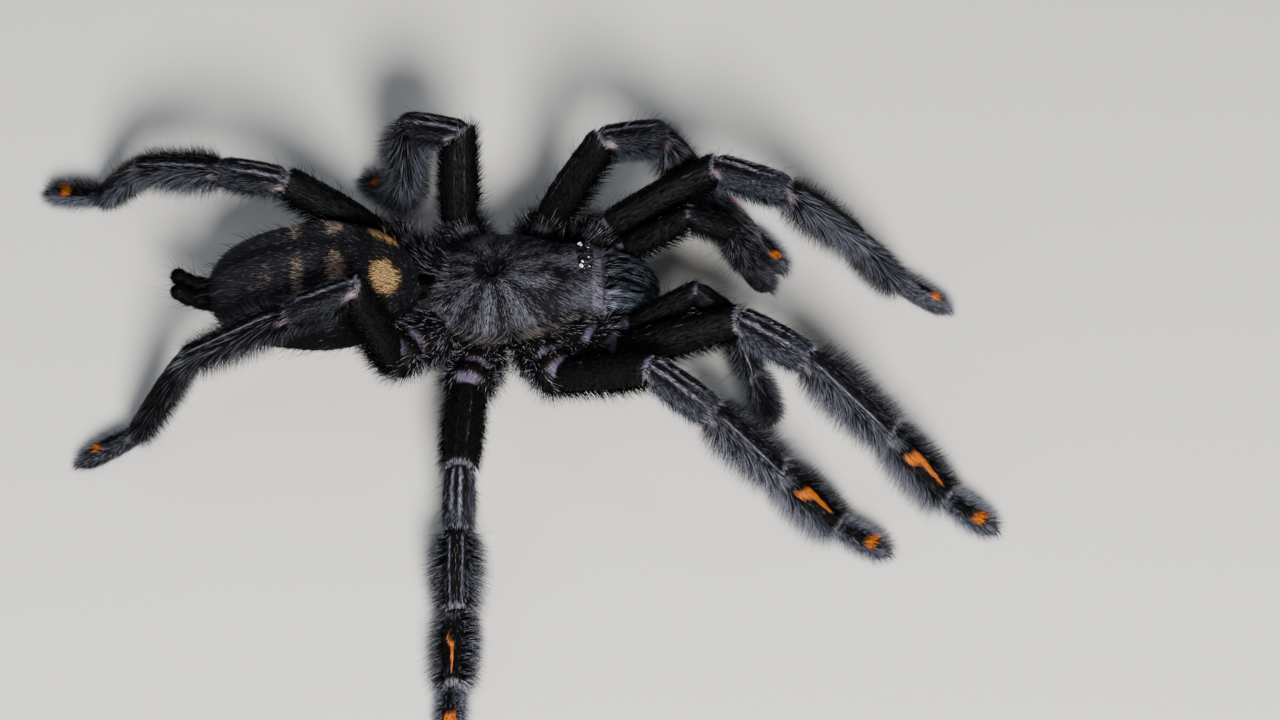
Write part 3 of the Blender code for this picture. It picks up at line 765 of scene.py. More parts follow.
def abdomen_rings():
    low, high = box_corners("abdomen")
    middle = (low + high) / 2
    front, length = high.x - ABDOMEN_COAT, high.x - low.x - 2 * ABDOMEN_COAT
    half_width, half_height = (high.y - low.y) / 2 - ABDOMEN_COAT, (high.z - low.z) / 2 - ABDOMEN_COAT
    rings = []
    for row in range(ABDOMEN_ROWS + 1):
        angle = math.pi * (0.02 + 0.96 * row / ABDOMEN_ROWS)
        place = (1 - math.cos(angle)) / 2
        girth = math.sin(angle) ** 0.84 * (1 - 0.16 * max(0.0, place - 0.45)) / 0.99
        sag = ABDOMEN_SAG * max(0.0, place - 0.5)
        ring = []
        for corner in range(ABDOMEN_CORNERS):
            turn = 360 * corner / ABDOMEN_CORNERS
            across, lift = on_circle(turn)
            side = middle.y + half_width * girth * across
            point = Vector((front - length * place, side, middle.z - sag))
            point.z += half_height * girth * lift
            swell = 1 + 0.012 * cloud(point, 4.0)
            point = middle + (point - middle) * swell
            lie = Vector((-1, 0.12 * across, 0.1 * lift - 0.15)).normalized()
            ring.append((point, lie, groom_abdomen(place, turn, point)))
        rings.append(ring)
    return rings


def trunk_rings():
    """The sternum's plate under the carapace, rounded below."""
    low = box_corners("sternum_and_hips")[0]
    shield_low, shield_high = box_corners("carapace")
    middle_x = (shield_low.x + shield_high.x) / 2 - TRUNK_BACK
    middle_y = (shield_low.y + shield_high.y) / 2
    half_length = (shield_high.x - shield_low.x) / 2 - TRUNK_IN[0]
    half_width = (shield_high.y - shield_low.y) / 2 - TRUNK_IN[1]
    grown = growth(BLACK_HAIR, BROWN_HAIR, 0.2, length=1.7, slope=0.5, hairs=12.0)
    rings = []
    for size, share in TRUNK_OUTLINE:
        z = low.z + TRUNK_COAT + (shield_low.z - low.z) * share
        ring = []
        for corner in range(TRUNK_CORNERS):
            turn = 2 * math.pi * corner / TRUNK_CORNERS
            across, along = math.sin(turn), math.cos(turn)
            point = Vector((middle_x + half_length * size * along, middle_y + half_width * size * across, z))
            ring.append((point, Vector((along, across, 0.3)).normalized(), grown))
        rings.append(ring)
    return rings


# ---------------------------------------------------------------- jaws, spinnerets and waist

JAW_STEPS = 44
JAW_CORNERS = 44
JAW_COAT = 0.15 * MM
JAW_GIRTH = (0.80, 0.98, 1.03, 1.05, 1.03, 0.97, 0.86, 0.66, 0.22)  # from its root to its end
JAW_BEND = -78  # how far its end points over level, in degrees
JAW_LENGTH = 1.27  # along its bend, as a share of how far forward it reaches
JAW_HEIGHT = 0.40  # half its height at its root, as a share of its solid's whole height
SPINNERET_STEPS = 30
SPINNERET_CORNERS = 20
SPINNERET_RADIUS = 1.0  # in millimetres
PEDICEL_STEPS = 8
PEDICEL_CORNERS = 24
OVERLAP = 0.6 * MM  # how far spinnerets and waist run on into what carries them


def swept_rings(path, sizes, corners, groom, sign=1):
    """Rings along a bent path. A turn of 0 is on the outer side if sign is that side's."""
    rings = []
    for index, (point, (width, height)) in enumerate(zip(path, sizes)):
        way = (path[min(index + 1, len(path) - 1)] - path[max(index - 1, 0)]).normalized()
        side = Vector((0, 1, 0))
        over = way.cross(side)
        ring = []
        for corner in range(corners):
            turn = 360 * corner / corners
            across, lift = on_circle(turn)
            place = point + side * (width * across * sign) + over * (height * lift)
            ring.append((place, way, groom(index / (len(path) - 1), turn, place)))
        rings.append(ring)
    return rings


def groom_jaw(share, turn, point):
    """Black shell with streaks of blue-grey hair outside, barer inside and reddish towards the fang.

    The turn is 0 on the jaw's outer side and 90 on top.
    """
    streak = math.sin(math.radians(turn) * 11 + 2 * cloud(point, 4))
    streak += 0.9 * cloud((0, point.y * 2, point.z * 2), 0.9)
    inner = step(turn, 62, 88) * step(turn, 250, 200)
    bare = max(step(share, 0.66, 0.85), 0.6 * inner)
    line = step(streak, -0.95, -1.3) * step(share, 0.25, 0.35)
    root = 0.7 * step(share, 0.12, 0.05)
    share_marked = (0.25 + 0.45 * step(streak, -0.4, 0.7)) * (1 - 0.75 * bare)
    return growth(
        BLACK_HAIR, blend(BLUE_HAIR, LILAC_HAIR, root), share_marked, length=1.5,
        slope=0.08 + 0.2 * bare + 0.3 * root, thick=0.055,
        hairs=64.0 * (1 - 0.9 * line) * (1 - 0.6 * bare), bristles=0.8 * step(share, 0.66, 0.85),
        shell=blend(BLACK_SHELL, RED_SHELL, step(share, 0.7, 0.95)), gloss=0.8,
    )


def jaw_rings(name, sign):
    """A chelicera: it leaves the head level and bends down over its fang."""
    low, high = box_corners(name)
    half_width, half_height = (high.y - low.y) / 2 - JAW_COAT, JAW_HEIGHT * (high.z - low.z) - JAW_COAT
    place = Vector((low.x - 0.4 * MM, (low.y + high.y) / 2, high.z - half_height - JAW_COAT))
    reach = high.x - low.x
    path, sizes = [], []
    for index in range(JAW_STEPS + 1):
        share = index / JAW_STEPS
        path.append(place.copy())
        swell = along_table(JAW_GIRTH, share)
        sizes.append((half_width * min(1.0, swell + 0.03), half_height * swell))
        ahead, lift = on_circle(JAW_BEND * step(share, -0.15, 0.95))
        place = place + Vector((ahead, 0, lift)) * (JAW_LENGTH * reach / JAW_STEPS)
    return swept_rings(path, sizes, JAW_CORNERS, groom_jaw, sign)


def groom_spinneret(share, turn, point):
    """Short black hair, the same all over."""
    return growth(VELVET, length=0.7, slope=0.3, thick=0.06, hairs=60.0, bristles=0.6)


def spinneret_rings(name):
    """A finger of three knuckled joints that bends up behind the abdomen."""
    low, high = box_corners(name)
    centre_y = (low.y + high.y) / 2
    start = Vector((high.x + OVERLAP, centre_y, low.z + 1.0 * MM))
    end = Vector((low.x + 0.5 * MM, centre_y, high.z - 0.35 * MM))
    path, sizes = [], []
    for index in range(SPINNERET_STEPS + 1):
        share = index / SPINNERET_STEPS
        knuckles = 1 - 0.12 * max(bump(share, 0.42, 0.07), bump(share, 0.72, 0.06))
        tip = math.sqrt(max(0.03, 1 - max(0.0, (share - 0.84) / 0.16) ** 2))
        size = (SPINNERET_RADIUS - 0.12 * share) * MM * knuckles * tip
        path.append(start.lerp(end, share) + Vector((-0.4 * MM, 0, -0.4 * MM)) * math.sin(math.pi * share))
        sizes.append((size, size))
    return swept_rings(path, sizes, SPINNERET_CORNERS, groom_spinneret)


def pedicel_rings():
    """The waist's short stalk, a little narrower in its middle."""
    low, high = box_corners("pedicel")
    middle = (low + high) / 2
    start = Vector((high.x + OVERLAP, middle.y, middle.z))
    end = Vector((low.x - OVERLAP, middle.y, middle.z))
    path, sizes = [], []
    for index in range(PEDICEL_STEPS + 1):
        path.append(start.lerp(end, index / PEDICEL_STEPS))
        size = (high.y - low.y) / 2 * (1 - 0.18 * math.sin(math.pi * index / PEDICEL_STEPS))
        sizes.append((size, size))
    return swept_rings(path, sizes, PEDICEL_CORNERS, groom_spinneret)


# ---------------------------------------------------------------- materials


def add_node(tree, kind, settings=None):
    """Adds a node. A setting is a property, or a socket's value or the socket that feeds it.

    A node that is given as a source stands for its first output.
    """
    made = tree.nodes.new(kind)
    for name, value in (settings or {}).items():
        source = value.outputs[0] if isinstance(value, bpy.types.Node) else value
        if isinstance(source, bpy.types.NodeSocket):
            tree.links.new(source, made.inputs[name])
        elif isinstance(name, str) and hasattr(made, name):
            setattr(made, name, value)
        else:
            made.inputs[name].default_value = value
    return made


CHITIN_IOR, PAPER_IOR = 1.56, 1.5


def new_material(name, roughness, ior=CHITIN_IOR, specular=0.5):
    material = bpy.data.materials.new(name)
    material.use_nodes = True
    surface = material.node_tree.nodes["Principled BSDF"]
    for socket, value in (("Roughness", roughness), ("IOR", ior), ("Specular IOR Level", specular)):
        surface.inputs[socket].default_value = value
    return material, material.node_tree, surface


def hair_material():
    """Chitin bristles, grown: each hair's own colour, dark at its root and pale at its tip."""
    material, tree, surface = new_material("chitin_hair", 0.5, specular=0.04)
    tint = add_node(tree, "ShaderNodeAttribute", {"attribute_name": "tint"})
    along = add_node(tree, "ShaderNodeAttribute", {"attribute_name": "along"})
    place = add_node(tree, "ShaderNodeTexCoord").outputs["Object"]
    # Its tone wavers about six times in a millimetre.
    fine = add_node(tree, "ShaderNodeTexNoise", {"Scale": 6.0 / MM, "Vector": place})
    tone = add_node(tree, "ShaderNodeMapRange", {"To Min": 0.75, "To Max": 1.25, "Value": fine})
    paling = add_node(
        tree, "ShaderNodeMapRange",
        {"interpolation_type": "SMOOTHSTEP", "To Min": 0.3, "To Max": 1.35, "Value": along.outputs["Fac"]},
    )
    both = add_node(tree, "ShaderNodeMath", {"operation": "MULTIPLY", 0: tone, 1: paling})
    toned = add_node(tree, "ShaderNodeVectorMath", {"operation": "SCALE", 0: tint, "Scale": both})
    tree.links.new(toned.outputs[0], surface.inputs["Base Color"])
    return material


def skin_material():
    """Cuticle, grown: dark hard shell under a nap of hairs too short to model, glossy where bare."""
    material, tree, surface = new_material("chitin_cuticle", 0.6, specular=0.12)
    shell = add_node(tree, "ShaderNodeAttribute", {"attribute_name": "shell"})
    gloss = add_node(tree, "ShaderNodeAttribute", {"attribute_name": "gloss"})
    place = add_node(tree, "ShaderNodeTexCoord").outputs["Object"]
    # The nap's pits are 0.1 mm apart and the cloudy swells of its tone about 1 mm.
    fine = add_node(tree, "ShaderNodeTexNoise", {"Scale": 9.0 / MM, "Detail": 3.0, "Vector": place})
    coarse = add_node(tree, "ShaderNodeTexNoise", {"Scale": 0.9 / MM, "Detail": 4.0, "Vector": place})
    tone = add_node(tree, "ShaderNodeMapRange", {"To Min": 0.6, "To Max": 1.4, "Value": coarse})
    coloured = add_node(tree, "ShaderNodeVectorMath", {"operation": "SCALE", 0: shell, "Scale": tone})
    nap = add_node(tree, "ShaderNodeMapRange", {"To Min": 0.55, "To Max": 0.8, "Value": fine})
    rough = add_node(tree, "ShaderNodeMix", {"A": nap, "B": 0.28, "Factor": gloss.outputs["Fac"]})
    relief = add_node(tree, "ShaderNodeBump", {"Strength": 0.5, "Distance": 0.06 * MM, "Height": fine})
    for source, socket in ((coloured, "Base Color"), (rough, "Roughness"), (relief, "Normal")):
        tree.links.new(source.outputs[0], surface.inputs[socket])
    return material


def mottle(tree, surface, swells, dark, light):
    """Clouds a surface between two hex colours, with so many swells in a millimetre."""
    place = add_node(tree, "ShaderNodeTexCoord").outputs["Object"]
    haze = add_node(tree, "ShaderNodeTexNoise", {"Scale": swells / MM, "Vector": place})
    ramp = add_node(tree, "ShaderNodeValToRGB", {"Fac": haze})
    for stop, colour in zip(ramp.color_ramp.elements, (dark, light)):
        stop.color = (*linear(colour), 1)
    tree.links.new(ramp.outputs["Color"], surface.inputs["Base Color"])


def lens_material(name, dark, light):
    """An eye's lens, grown clear cuticle: mirror-smooth over the eye's own colour."""
    material, tree, surface = new_material(name, 0.08)
    mottle(tree, surface, 1.5, dark, light)
    surface.inputs["Coat Weight"].default_value = 1.0
    surface.inputs["Coat Roughness"].default_value = 0.03
    return material


def fang_material():
    """Hardened cuticle, grown and polished by use: black-brown, clouded with red-brown."""
    material, tree, surface = new_material("polished_fang", 0.22)
    mottle(tree, surface, 0.7, "120605", "4a160c")
    return material


def paper_material():
    """Matt backdrop paper, rolled: pale, with a tooth too fine to see from here."""
    material, _, surface = new_material("backdrop_paper", 0.9, ior=PAPER_IOR)
    surface.inputs["Base Color"].default_value = (*linear("d6d5d2"), 1)
    return material


# ---------------------------------------------------------------- the coat

MATH, VECTOR_MATH = "ShaderNodeMath", "ShaderNodeVectorMath"
SPLIT, MEET = "ShaderNodeSeparateXYZ", "ShaderNodeCombineXYZ"
READ, STORE = "GeometryNodeInputNamedAttribute", "GeometryNodeStoreNamedAttribute"
CHANCE = "FunctionNodeRandomValue"
HAIR_PATCH = 0.003  # the side of each hair's patch in the unwrap
FLOOR_NAP = 0.2 * MM  # how thick hairs lie that are pressed on the floor
SQUARE_METRE = 1e6  # in square millimetres


def hair_facing(add, given, lie, normal, slope, steep):
    """Which way each hair points: along the skin as its lie says, straying a little and rising."""
    wander = add(CHANCE, {"data_type": "FLOAT_VECTOR", 0: (-1, -1, -1), 1: (1, 1, 1), "Seed": 7})
    astray = add(VECTOR_MATH, {"operation": "SCALE", 0: wander, "Scale": given["Scatter"]})
    off_skin = add(VECTOR_MATH, {"operation": "PROJECT", 0: lie, 1: normal})
    level_lie = add(VECTOR_MATH, {"operation": "SUBTRACT", 0: lie, 1: off_skin})
    even_lie = add(VECTOR_MATH, {"operation": "NORMALIZE", 0: level_lie})
    run = add(VECTOR_MATH, {"operation": "ADD", 0: even_lie, 1: astray})
    sloped = add(MATH, {"operation": "MULTIPLY", 0: slope, 1: given["Steeper"]})
    rise = add(MATH, {"operation": "MULTIPLY", 0: sloped, 1: steep})
    raised = add(VECTOR_MATH, {"operation": "SCALE", 0: normal, "Scale": rise})
    heading = add(VECTOR_MATH, {"operation": "ADD", 0: run, 1: raised})
    return add(
        "FunctionNodeAxesToRotation",
        {"primary_axis": "X", "secondary_axis": "Z", "Primary Axis": heading, "Secondary Axis": normal},
    )


def one_spike(add, given):
    """A hair from 0 to 1 along X, bowed, that keeps its unbowed places as its patch."""
    spike = add(
        "GeometryNodeMeshCone",
        {
            "fill_type": "NGON", "Vertices": 3, "Side Segments": given["Bends"], "Radius Top": 0.0,
            "Radius Bottom": 0.5, "Depth": 1.0,
        },
    )
    laid = add("GeometryNodeTransform", {"Geometry": spike, "Rotation": (0.0, math.pi / 2, 0.0)})
    spot = add("GeometryNodeInputPosition")
    patched = add(STORE, {"data_type": "FLOAT_VECTOR", "Name": "patch", "Geometry": laid, "Value": spot})
    along = add(SPLIT, {0: spot}).outputs["X"]
    left = add(MATH, {"operation": "SUBTRACT", 0: 1.0, 1: along})
    arch = add(MATH, {"operation": "MULTIPLY", 0: along, 1: left})
    lift = add(MATH, {"operation": "MULTIPLY", 0: arch, 1: given["Bow"]})
    return add("GeometryNodeSetPosition", {"Geometry": patched, "Offset": add(MEET, {"Z": lift})})


def press_on_floor(add, nap, hairs):
    """What would reach under the floor is pressed flat just over it."""
    place = add(SPLIT, {0: add("GeometryNodeInputPosition")}).outputs
    over_nap = add(MATH, {"operation": "SUBTRACT", 0: place["Z"], 1: nap})
    share = add(MATH, {"operation": "DIVIDE", 0: over_nap, 1: nap})
    under = add(MATH, {"operation": "MINIMUM", 0: share, 1: 0.0})
    eased = add(MATH, {"operation": "EXPONENT", 0: under})
    pressed = add(MATH, {"operation": "MULTIPLY", 0: eased, 1: nap})
    height = add(MATH, {"operation": "MAXIMUM", 0: place["Z"], 1: pressed})
    flat = add(MEET, {"X": place["X"], "Y": place["Y"], "Z": height})
    return add("GeometryNodeSetPosition", {"Geometry": hairs, "Position": flat})


def paint_hairs(add, hairs):
    """Gives each hair its shade of its colour, its places from root to tip and its own patch."""
    tint, patch, root, shade = (
        add(READ, {"data_type": kind, "Name": name})
        for name, kind in (
            ("tint", "FLOAT_VECTOR"), ("patch", "FLOAT_VECTOR"), ("OFBake", "FLOAT_VECTOR"),
            ("shade", "FLOAT"),
        )
    )
    final = add(VECTOR_MATH, {"operation": "SCALE", 0: tint, "Scale": shade})
    painted = add(STORE, {"data_type": "FLOAT_COLOR", "Name": "tint", "Geometry": hairs, "Value": final})
    along = add(SPLIT, {0: patch}).outputs["X"]
    graded = add(STORE, {"data_type": "FLOAT", "Name": "along", "Geometry": painted, "Value": along})
    small = add(VECTOR_MATH, {"operation": "MULTIPLY", 0: patch, 1: (HAIR_PATCH, HAIR_PATCH, 0.0)})
    corner = add(VECTOR_MATH, {"operation": "ADD", 0: root, 1: small})
    return add(
        STORE,
        {"data_type": "FLOAT2", "domain": "CORNER", "Name": "OFBake", "Geometry": graded, "Value": corner},
    )


def coat_tree():
    """Sets hairs on a skin: each is a closed three-sided spike, bowed and laid along the coat."""
    tree = bpy.data.node_groups.new("coat_of_hair", "GeometryNodeTree")
    for name, kind in (
        ("Skin", "Geometry"), ("Count Field", "String"), ("Count Scale", "Float"), ("Seed", "Int"),
        ("Length Field", "String"), ("Bends", "Int"), ("Bow", "Float"), ("Scatter", "Float"),
        ("Steeper", "Float"), ("Floor Nap", "Float"), ("Hair", "Material"),
    ):
        tree.interface.new_socket(name, in_out="INPUT", socket_type=f"NodeSocket{kind}")
    tree.interface.new_socket("Coat", in_out="OUTPUT", socket_type="NodeSocketGeometry")
    add = functools.partial(add_node, tree)
    given = add("NodeGroupInput").outputs
    # What the skin carries.
    counted, long_by, marked, slope, thick, tint, mark, lie = (
        add(READ, {"data_type": kind, "Name": name})
        for name, kind in (
            (given["Count Field"], "FLOAT"), (given["Length Field"], "FLOAT"), ("marked", "FLOAT"),
            ("slope", "FLOAT"), ("thick", "FLOAT"), ("tint", "FLOAT_COLOR"), ("mark", "FLOAT_COLOR"),
            ("lie", "FLOAT_VECTOR"),
        )
    )
    # What chance decides for each hair: which colour it takes, its shade, how steep and how long it is.
    drawn, dark, steep, lengthened = (
        add(CHANCE, {"data_type": "FLOAT", 2: low, 3: high, "Seed": seed}).outputs[1]
        for low, high, seed in ((0, 1, 21), (0.6, 1.4, 3), (0.65, 1.35, 11), (0.65, 1.2, 5))
    )
    density = add(MATH, {"operation": "MULTIPLY", 0: counted, 1: given["Count Scale"]})
    roots = add(
        "GeometryNodeDistributePointsOnFaces",
        {"Mesh": given["Skin"], "Density": density, "Seed": given["Seed"]},
    )
    picked = add(MATH, {"operation": "LESS_THAN", 0: drawn, 1: marked})
    colour = add("ShaderNodeMix", {"data_type": "RGBA", 0: picked, 6: tint, 7: mark}).outputs[2]
    dyed = add(STORE, {"data_type": "FLOAT_COLOR", "Name": "tint", "Geometry": roots, "Value": colour})
    shaded = add(STORE, {"data_type": "FLOAT", "Name": "shade", "Geometry": dyed, "Value": dark})
    long = add(MATH, {"operation": "MULTIPLY", 0: long_by, 1: lengthened})
    length = add(MATH, {"operation": "MULTIPLY", 0: long, 1: MM})
    width = add(MATH, {"operation": "MULTIPLY", 0: thick, 1: MM})
    planted = add(
        "GeometryNodeInstanceOnPoints",
        {
            "Points": shaded, "Instance": one_spike(add, given),
            "Rotation": hair_facing(add, given, lie, roots.outputs["Normal"], slope, steep),
            "Scale": add(MEET, {"X": length, "Y": width, "Z": width}),
        },
    )
    real = add("GeometryNodeRealizeInstances", {"Geometry": planted})
    painted = paint_hairs(add, press_on_floor(add, given["Floor Nap"], real))
    smooth = add("GeometryNodeSetShadeSmooth", {"Geometry": painted})
    dressed = add("GeometryNodeSetMaterial", {"Geometry": smooth, "Material": given["Hair"]})
    add("NodeGroupOutput", {"Coat": dressed})
    return tree


SHORT_COAT = {
    "Count Field": "hairs", "Length Field": "length", "Bends": 1, "Bow": 0.0, "Scatter": 0.11,
    "Steeper": 1.0,
}
LONG_COAT = {
    "Count Field": "bristles", "Length Field": "reach", "Bends": 2, "Bow": 16.0, "Scatter": 0.3,
    "Steeper": 2.8,
}


def grow(skin, tree, settings):
    """A skin's coat as a plain mesh."""
    grower = skin.modifiers.new("coat", "NODES")
    grower.node_group = tree
    for socket in tree.interface.items_tree:
        if socket.in_out == "INPUT" and socket.name in settings:
            grower[socket.identifier] = settings[socket.name]
    mesh = bpy.data.meshes.new_from_object(skin.evaluated_get(bpy.context.evaluated_depsgraph_get()))
    skin.modifiers.remove(grower)
    for field in [held.name for held in mesh.attributes]:
        if field in (*NUMBERS, "mark", "shell", "lie", "patch", "shade"):
            mesh.attributes.remove(mesh.attributes[field])
    return mesh


def coat_piece(name, skin, tree, hair, seed, slot, **changes):
    """The whole coat of one stretch of skin, short hairs and long, as one piece.

    The changes are to the short hairs' settings.
    """
    grown = []
    for index, settings in enumerate((dict(SHORT_COAT, **changes), dict(LONG_COAT))):
        settings.update({"Count Scale": FEWER * SQUARE_METRE, "Seed": seed + 100 * index})
        settings.update({"Floor Nap": FLOOR_NAP, "Hair": hair})
        mesh = grow(skin, tree, settings)
        if len(mesh.polygons):
            grown.append(add_to_scene(name, mesh))
    coat = join(grown, f"{name}_coat")
    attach(coat, "root")


def join(things, name):
    bpy.ops.object.select_all(action="DESELECT")
    for thing in things:
        thing.select_set(True)
    bpy.context.view_layer.objects.active = things[0]
    if len(things) > 1:
        bpy.ops.object.join()
    things[0].name = name
    things[0].data.name = name
    return things[0]


# ---------------------------------------------------------------- small bare parts

EYE_MOUND_RISE = 0.75 * MM
EYE_MOUND_SUNK = 0.5 * MM  # how far it reaches into the carapace
EYE_MOUND_ROWS = 13
EYE_MOUND_CORNERS = 36
# Each eye: ahead and outward from the mound's middle, height over its foot and radius, all in
# millimetres, how far it looks forward and how far it is drawn out. The rear ones are pearly.
FRONT_EYES = ((0.42, 0.82, 0.56, 0.45, 0.5, 1.0), (0.45, 1.98, 0.10, 0.34, 0.4, 1.25))
REAR_EYES = ((-0.60, 1.92, 0.12, 0.22, -0.4, 1.35), (-0.42, 1.42, 0.34, 0.14, -0.3, 1.4))
LENS_ROWS = 10
LENS_CORNERS = 18
FANG_CURVE = 1.1 * MM  # how far it bows down from a straight line
FANG_RADIUS, FANG_POINT = 0.78, 0.03  # in millimetres
FANG_STEPS = 21
FANG_CORNERS = 16
CLAW_RADIUS, CLAW_POINT = 0.14, 0.015  # in millimetres
CLAW_APART = 0.3 * MM  # how far each is from the foot's middle
CLAW_STEPS = 6
CLAW_CORNERS = 6


def round_ring(middle, side, over, half_width, half_height, corners):
    """The corners of an oval ring about a middle, half_width along side and half_height along over."""
    turns = [2 * math.pi * corner / corners for corner in range(corners)]
    return [middle + side * (half_width * math.cos(t)) + over * (half_height * math.sin(t)) for t in turns]


def rings_to_piece(name, shells, material):
    """One mesh piece from several closed tubes of rings."""
    points, faces = [], []
    for rings in shells:
        faces += tube_faces(len(rings), len(rings[0]), len(points))
        points += [tuple(point) for ring in rings for point in ring]
    mesh = bpy.data.meshes.new(name)
    mesh.from_pydata(points, [], faces)
    mesh.shade_smooth()
    mesh.materials.append(material)
    outward(mesh)
    piece = add_to_scene(name, mesh)
    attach(piece, "root")
    return piece


def eye_mound_rings():
    """The low mound that carries the eyes."""
    low, high = box_corners("eye_mound")
    middle = (low + high) / 2
    half_length, half_width = (high.x - low.x) / 2, (high.y - low.y) / 2
    grown = growth(VELVET, LILAC_HAIR, 0.15, length=0.35, slope=0.25, thick=0.04, hairs=60.0)
    rings = []
    for row in range(EYE_MOUND_ROWS + 1):
        angle = 0.5 * math.pi * row / EYE_MOUND_ROWS
        size, lift = math.cos(angle) * 0.98 + 0.02, math.sin(angle)
        z = low.z - EYE_MOUND_SUNK + (EYE_MOUND_RISE + EYE_MOUND_SUNK) * lift
        ring = []
        for corner in range(EYE_MOUND_CORNERS):
            turn = 2 * math.pi * corner / EYE_MOUND_CORNERS
            along, across = math.cos(turn), math.sin(turn)
            point = Vector((middle.x + half_length * size * along, middle.y + half_width * size * across, z))
            ring.append((point, Vector((1, 0.2 * across, 0)).normalized(), grown))
        rings.append(ring)
    return rings


def lens_rings(middle, axis, radius, long_way, stretch):
    """A domed lens about an axis, stretched along long_way."""
    side = (long_way - axis * long_way.dot(axis)).normalized()
    over = axis.cross(side)
    rings = []
    for row in range(1, LENS_ROWS + 1):
        angle = math.pi * row / (LENS_ROWS + 1)
        size, height = radius * math.sin(angle), 0.85 * radius * math.cos(angle)
        rings.append(round_ring(middle + axis * height, side, over, size * stretch, size, LENS_CORNERS))
    return rings


def eyes():
    """Eight eyes in two rows on their low mound."""
    low, high = box_corners("eye_mound")
    middle = (low + high) / 2
    for name, places, material in (
        ("eyes_front", FRONT_EYES, lens_material("dark_eye_lens", "050508", "14141c")),
        ("eyes_rear", REAR_EYES, lens_material("pearly_eye_lens", "a9acb4", "d6d8de")),
    ):
        lenses = []
        for sign in SIDES.values():
            for ahead, outward_by, lift, radius, forward, stretch in places:
                over = low.z + (lift + 0.08) * MM
                spot = Vector((middle.x + ahead * MM, middle.y + outward_by * sign * MM, over))
                axis = Vector((forward, 0.4 * sign * outward_by, 0.9)).normalized()
                lenses.append(lens_rings(spot, axis, radius * MM, Vector((0.5, 0.8 * sign, 0)), stretch))
        rings_to_piece(name, lenses, material)


def fangs(material):
    """Each fang leaves its jaw's end and curves back under it to a point."""
    for side, sign in SIDES.items():
        low, high = box_corners(f"fang_{side}")
        start = Vector((high.x - 0.6 * MM, (low.y + high.y) / 2, high.z + 0.5 * MM))
        end = Vector((low.x + 0.1 * MM, (low.y + high.y) / 2 - 0.3 * sign * MM, low.z + 0.5 * MM))
        way = (end - start).normalized()
        across = UP.cross(way).normalized()
        over = way.cross(across)
        rings = []
        for index in range(FANG_STEPS + 1):
            share = index / FANG_STEPS
            sag = Vector((0, 0, -FANG_CURVE)) * math.sin(math.pi * share) * (1 - 0.4 * share)
            radius = (FANG_RADIUS * (1 - share) ** 0.75 + FANG_POINT) * MM
            point = start.lerp(end, share) + sag
            rings.append(round_ring(point, across, over, 0.8 * radius, radius, FANG_CORNERS))
        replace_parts(rings_to_piece(f"fang_{side}_polished", [rings], material), f"fang_{side}")


def claws(material, tips):
    """Two small claws on each leg, half hidden in the foot's hair."""
    shells = []
    for tip, way in tips:
        side = UP.cross(way).normalized()
        over = way.cross(side)
        for sign in SIDES.values():
            rings = []
            for index in range(CLAW_STEPS + 1):
                share = index / CLAW_STEPS
                point = tip + way * ((0.1 + 0.75 * share) * MM) + side * (CLAW_APART * sign)
                point.z = max(tip.z + (0.25 * math.sin(math.pi * share) - 0.55 * share) * MM, 0.1 * MM)
                radius = (CLAW_RADIUS * (1 - share) + CLAW_POINT) * MM
                rings.append(round_ring(point, side, over, radius, radius, CLAW_CORNERS))
            shells.append(rings)
    rings_to_piece("claws", shells, material)


# ---------------------------------------------------------------- camera, floor and lights

CAMERA_DISTANCE = 530 * MM
CAMERA_BEHIND = 0.9 * MM  # the spot that it stands off from is so far behind the carapace's middle
CAMERA_ELEVATION = 47  # in degrees
CAMERA_AZIMUTH = -2.7  # in degrees, from the animal's right side towards its head
CAMERA_LENS, CAMERA_SENSOR = 117.2, 36.0  # in millimetres
CAMERA_RIGHT, CAMERA_DOWN = 0.0313, 0.0015  # how far it is turned, as shares of its distance
FLOOR_HALF = 3.0
# Each lamp's place, width, power and colour.
LAMPS = {
    "key": ((0.05, -0.66, 0.43), 0.20, 20.5, "fffcf8"),
    "fill": ((-0.55, -0.30, 0.45), 0.5, 1.5, "eef4ff"),
    "rim": ((0.05, 0.20, 0.65), 0.2, 0.35, "e6f0ff"),
}
AIR_COLOUR, AIR_STRENGTH = "e8ecf2", 0.10


def camera():
    """Looks down on the animal's right side, from half a metre away."""
    low, high = box_corners("carapace")
    middle = Vector(((low.x + high.x) / 2 - CAMERA_BEHIND, (low.y + high.y) / 2, 0))
    elevation, azimuth = math.radians(CAMERA_ELEVATION), math.radians(CAMERA_AZIMUTH)
    level = math.cos(elevation)
    back = Vector((math.sin(azimuth) * level, -math.cos(azimuth) * level, math.sin(elevation)))
    right = Vector((math.cos(azimuth), math.sin(azimuth), 0))
    up = back.cross(right)
    place = middle + back * CAMERA_DISTANCE
    # The carapace stands left of the view's middle, so the camera is turned a little to the right.
    back = (back - right * CAMERA_RIGHT + up * CAMERA_DOWN).normalized()
    right = up.cross(back).normalized()
    up = back.cross(right)
    data = bpy.data.cameras.new("camera")
    data.lens, data.sensor_width = CAMERA_LENS, CAMERA_SENSOR
    data.clip_start, data.clip_end = 0.01, 20.0
    seen = add_to_scene("camera", data)
    rows = [(right[row], up[row], back[row], place[row]) for row in range(3)]
    seen.matrix_world = Matrix(rows + [(0, 0, 0, 1)])
    bpy.context.scene.camera = seen


def floor():
    corners = [(FLOOR_HALF * x, FLOOR_HALF * y, 0) for x, y in ((-1, -1), (1, -1), (1, 1), (-1, 1))]
    mesh = bpy.data.meshes.new("floor")
    mesh.from_pydata(corners, [], [(0, 1, 2, 3)])
    mesh.materials.append(paper_material())
    piece = add_to_scene("floor", mesh)


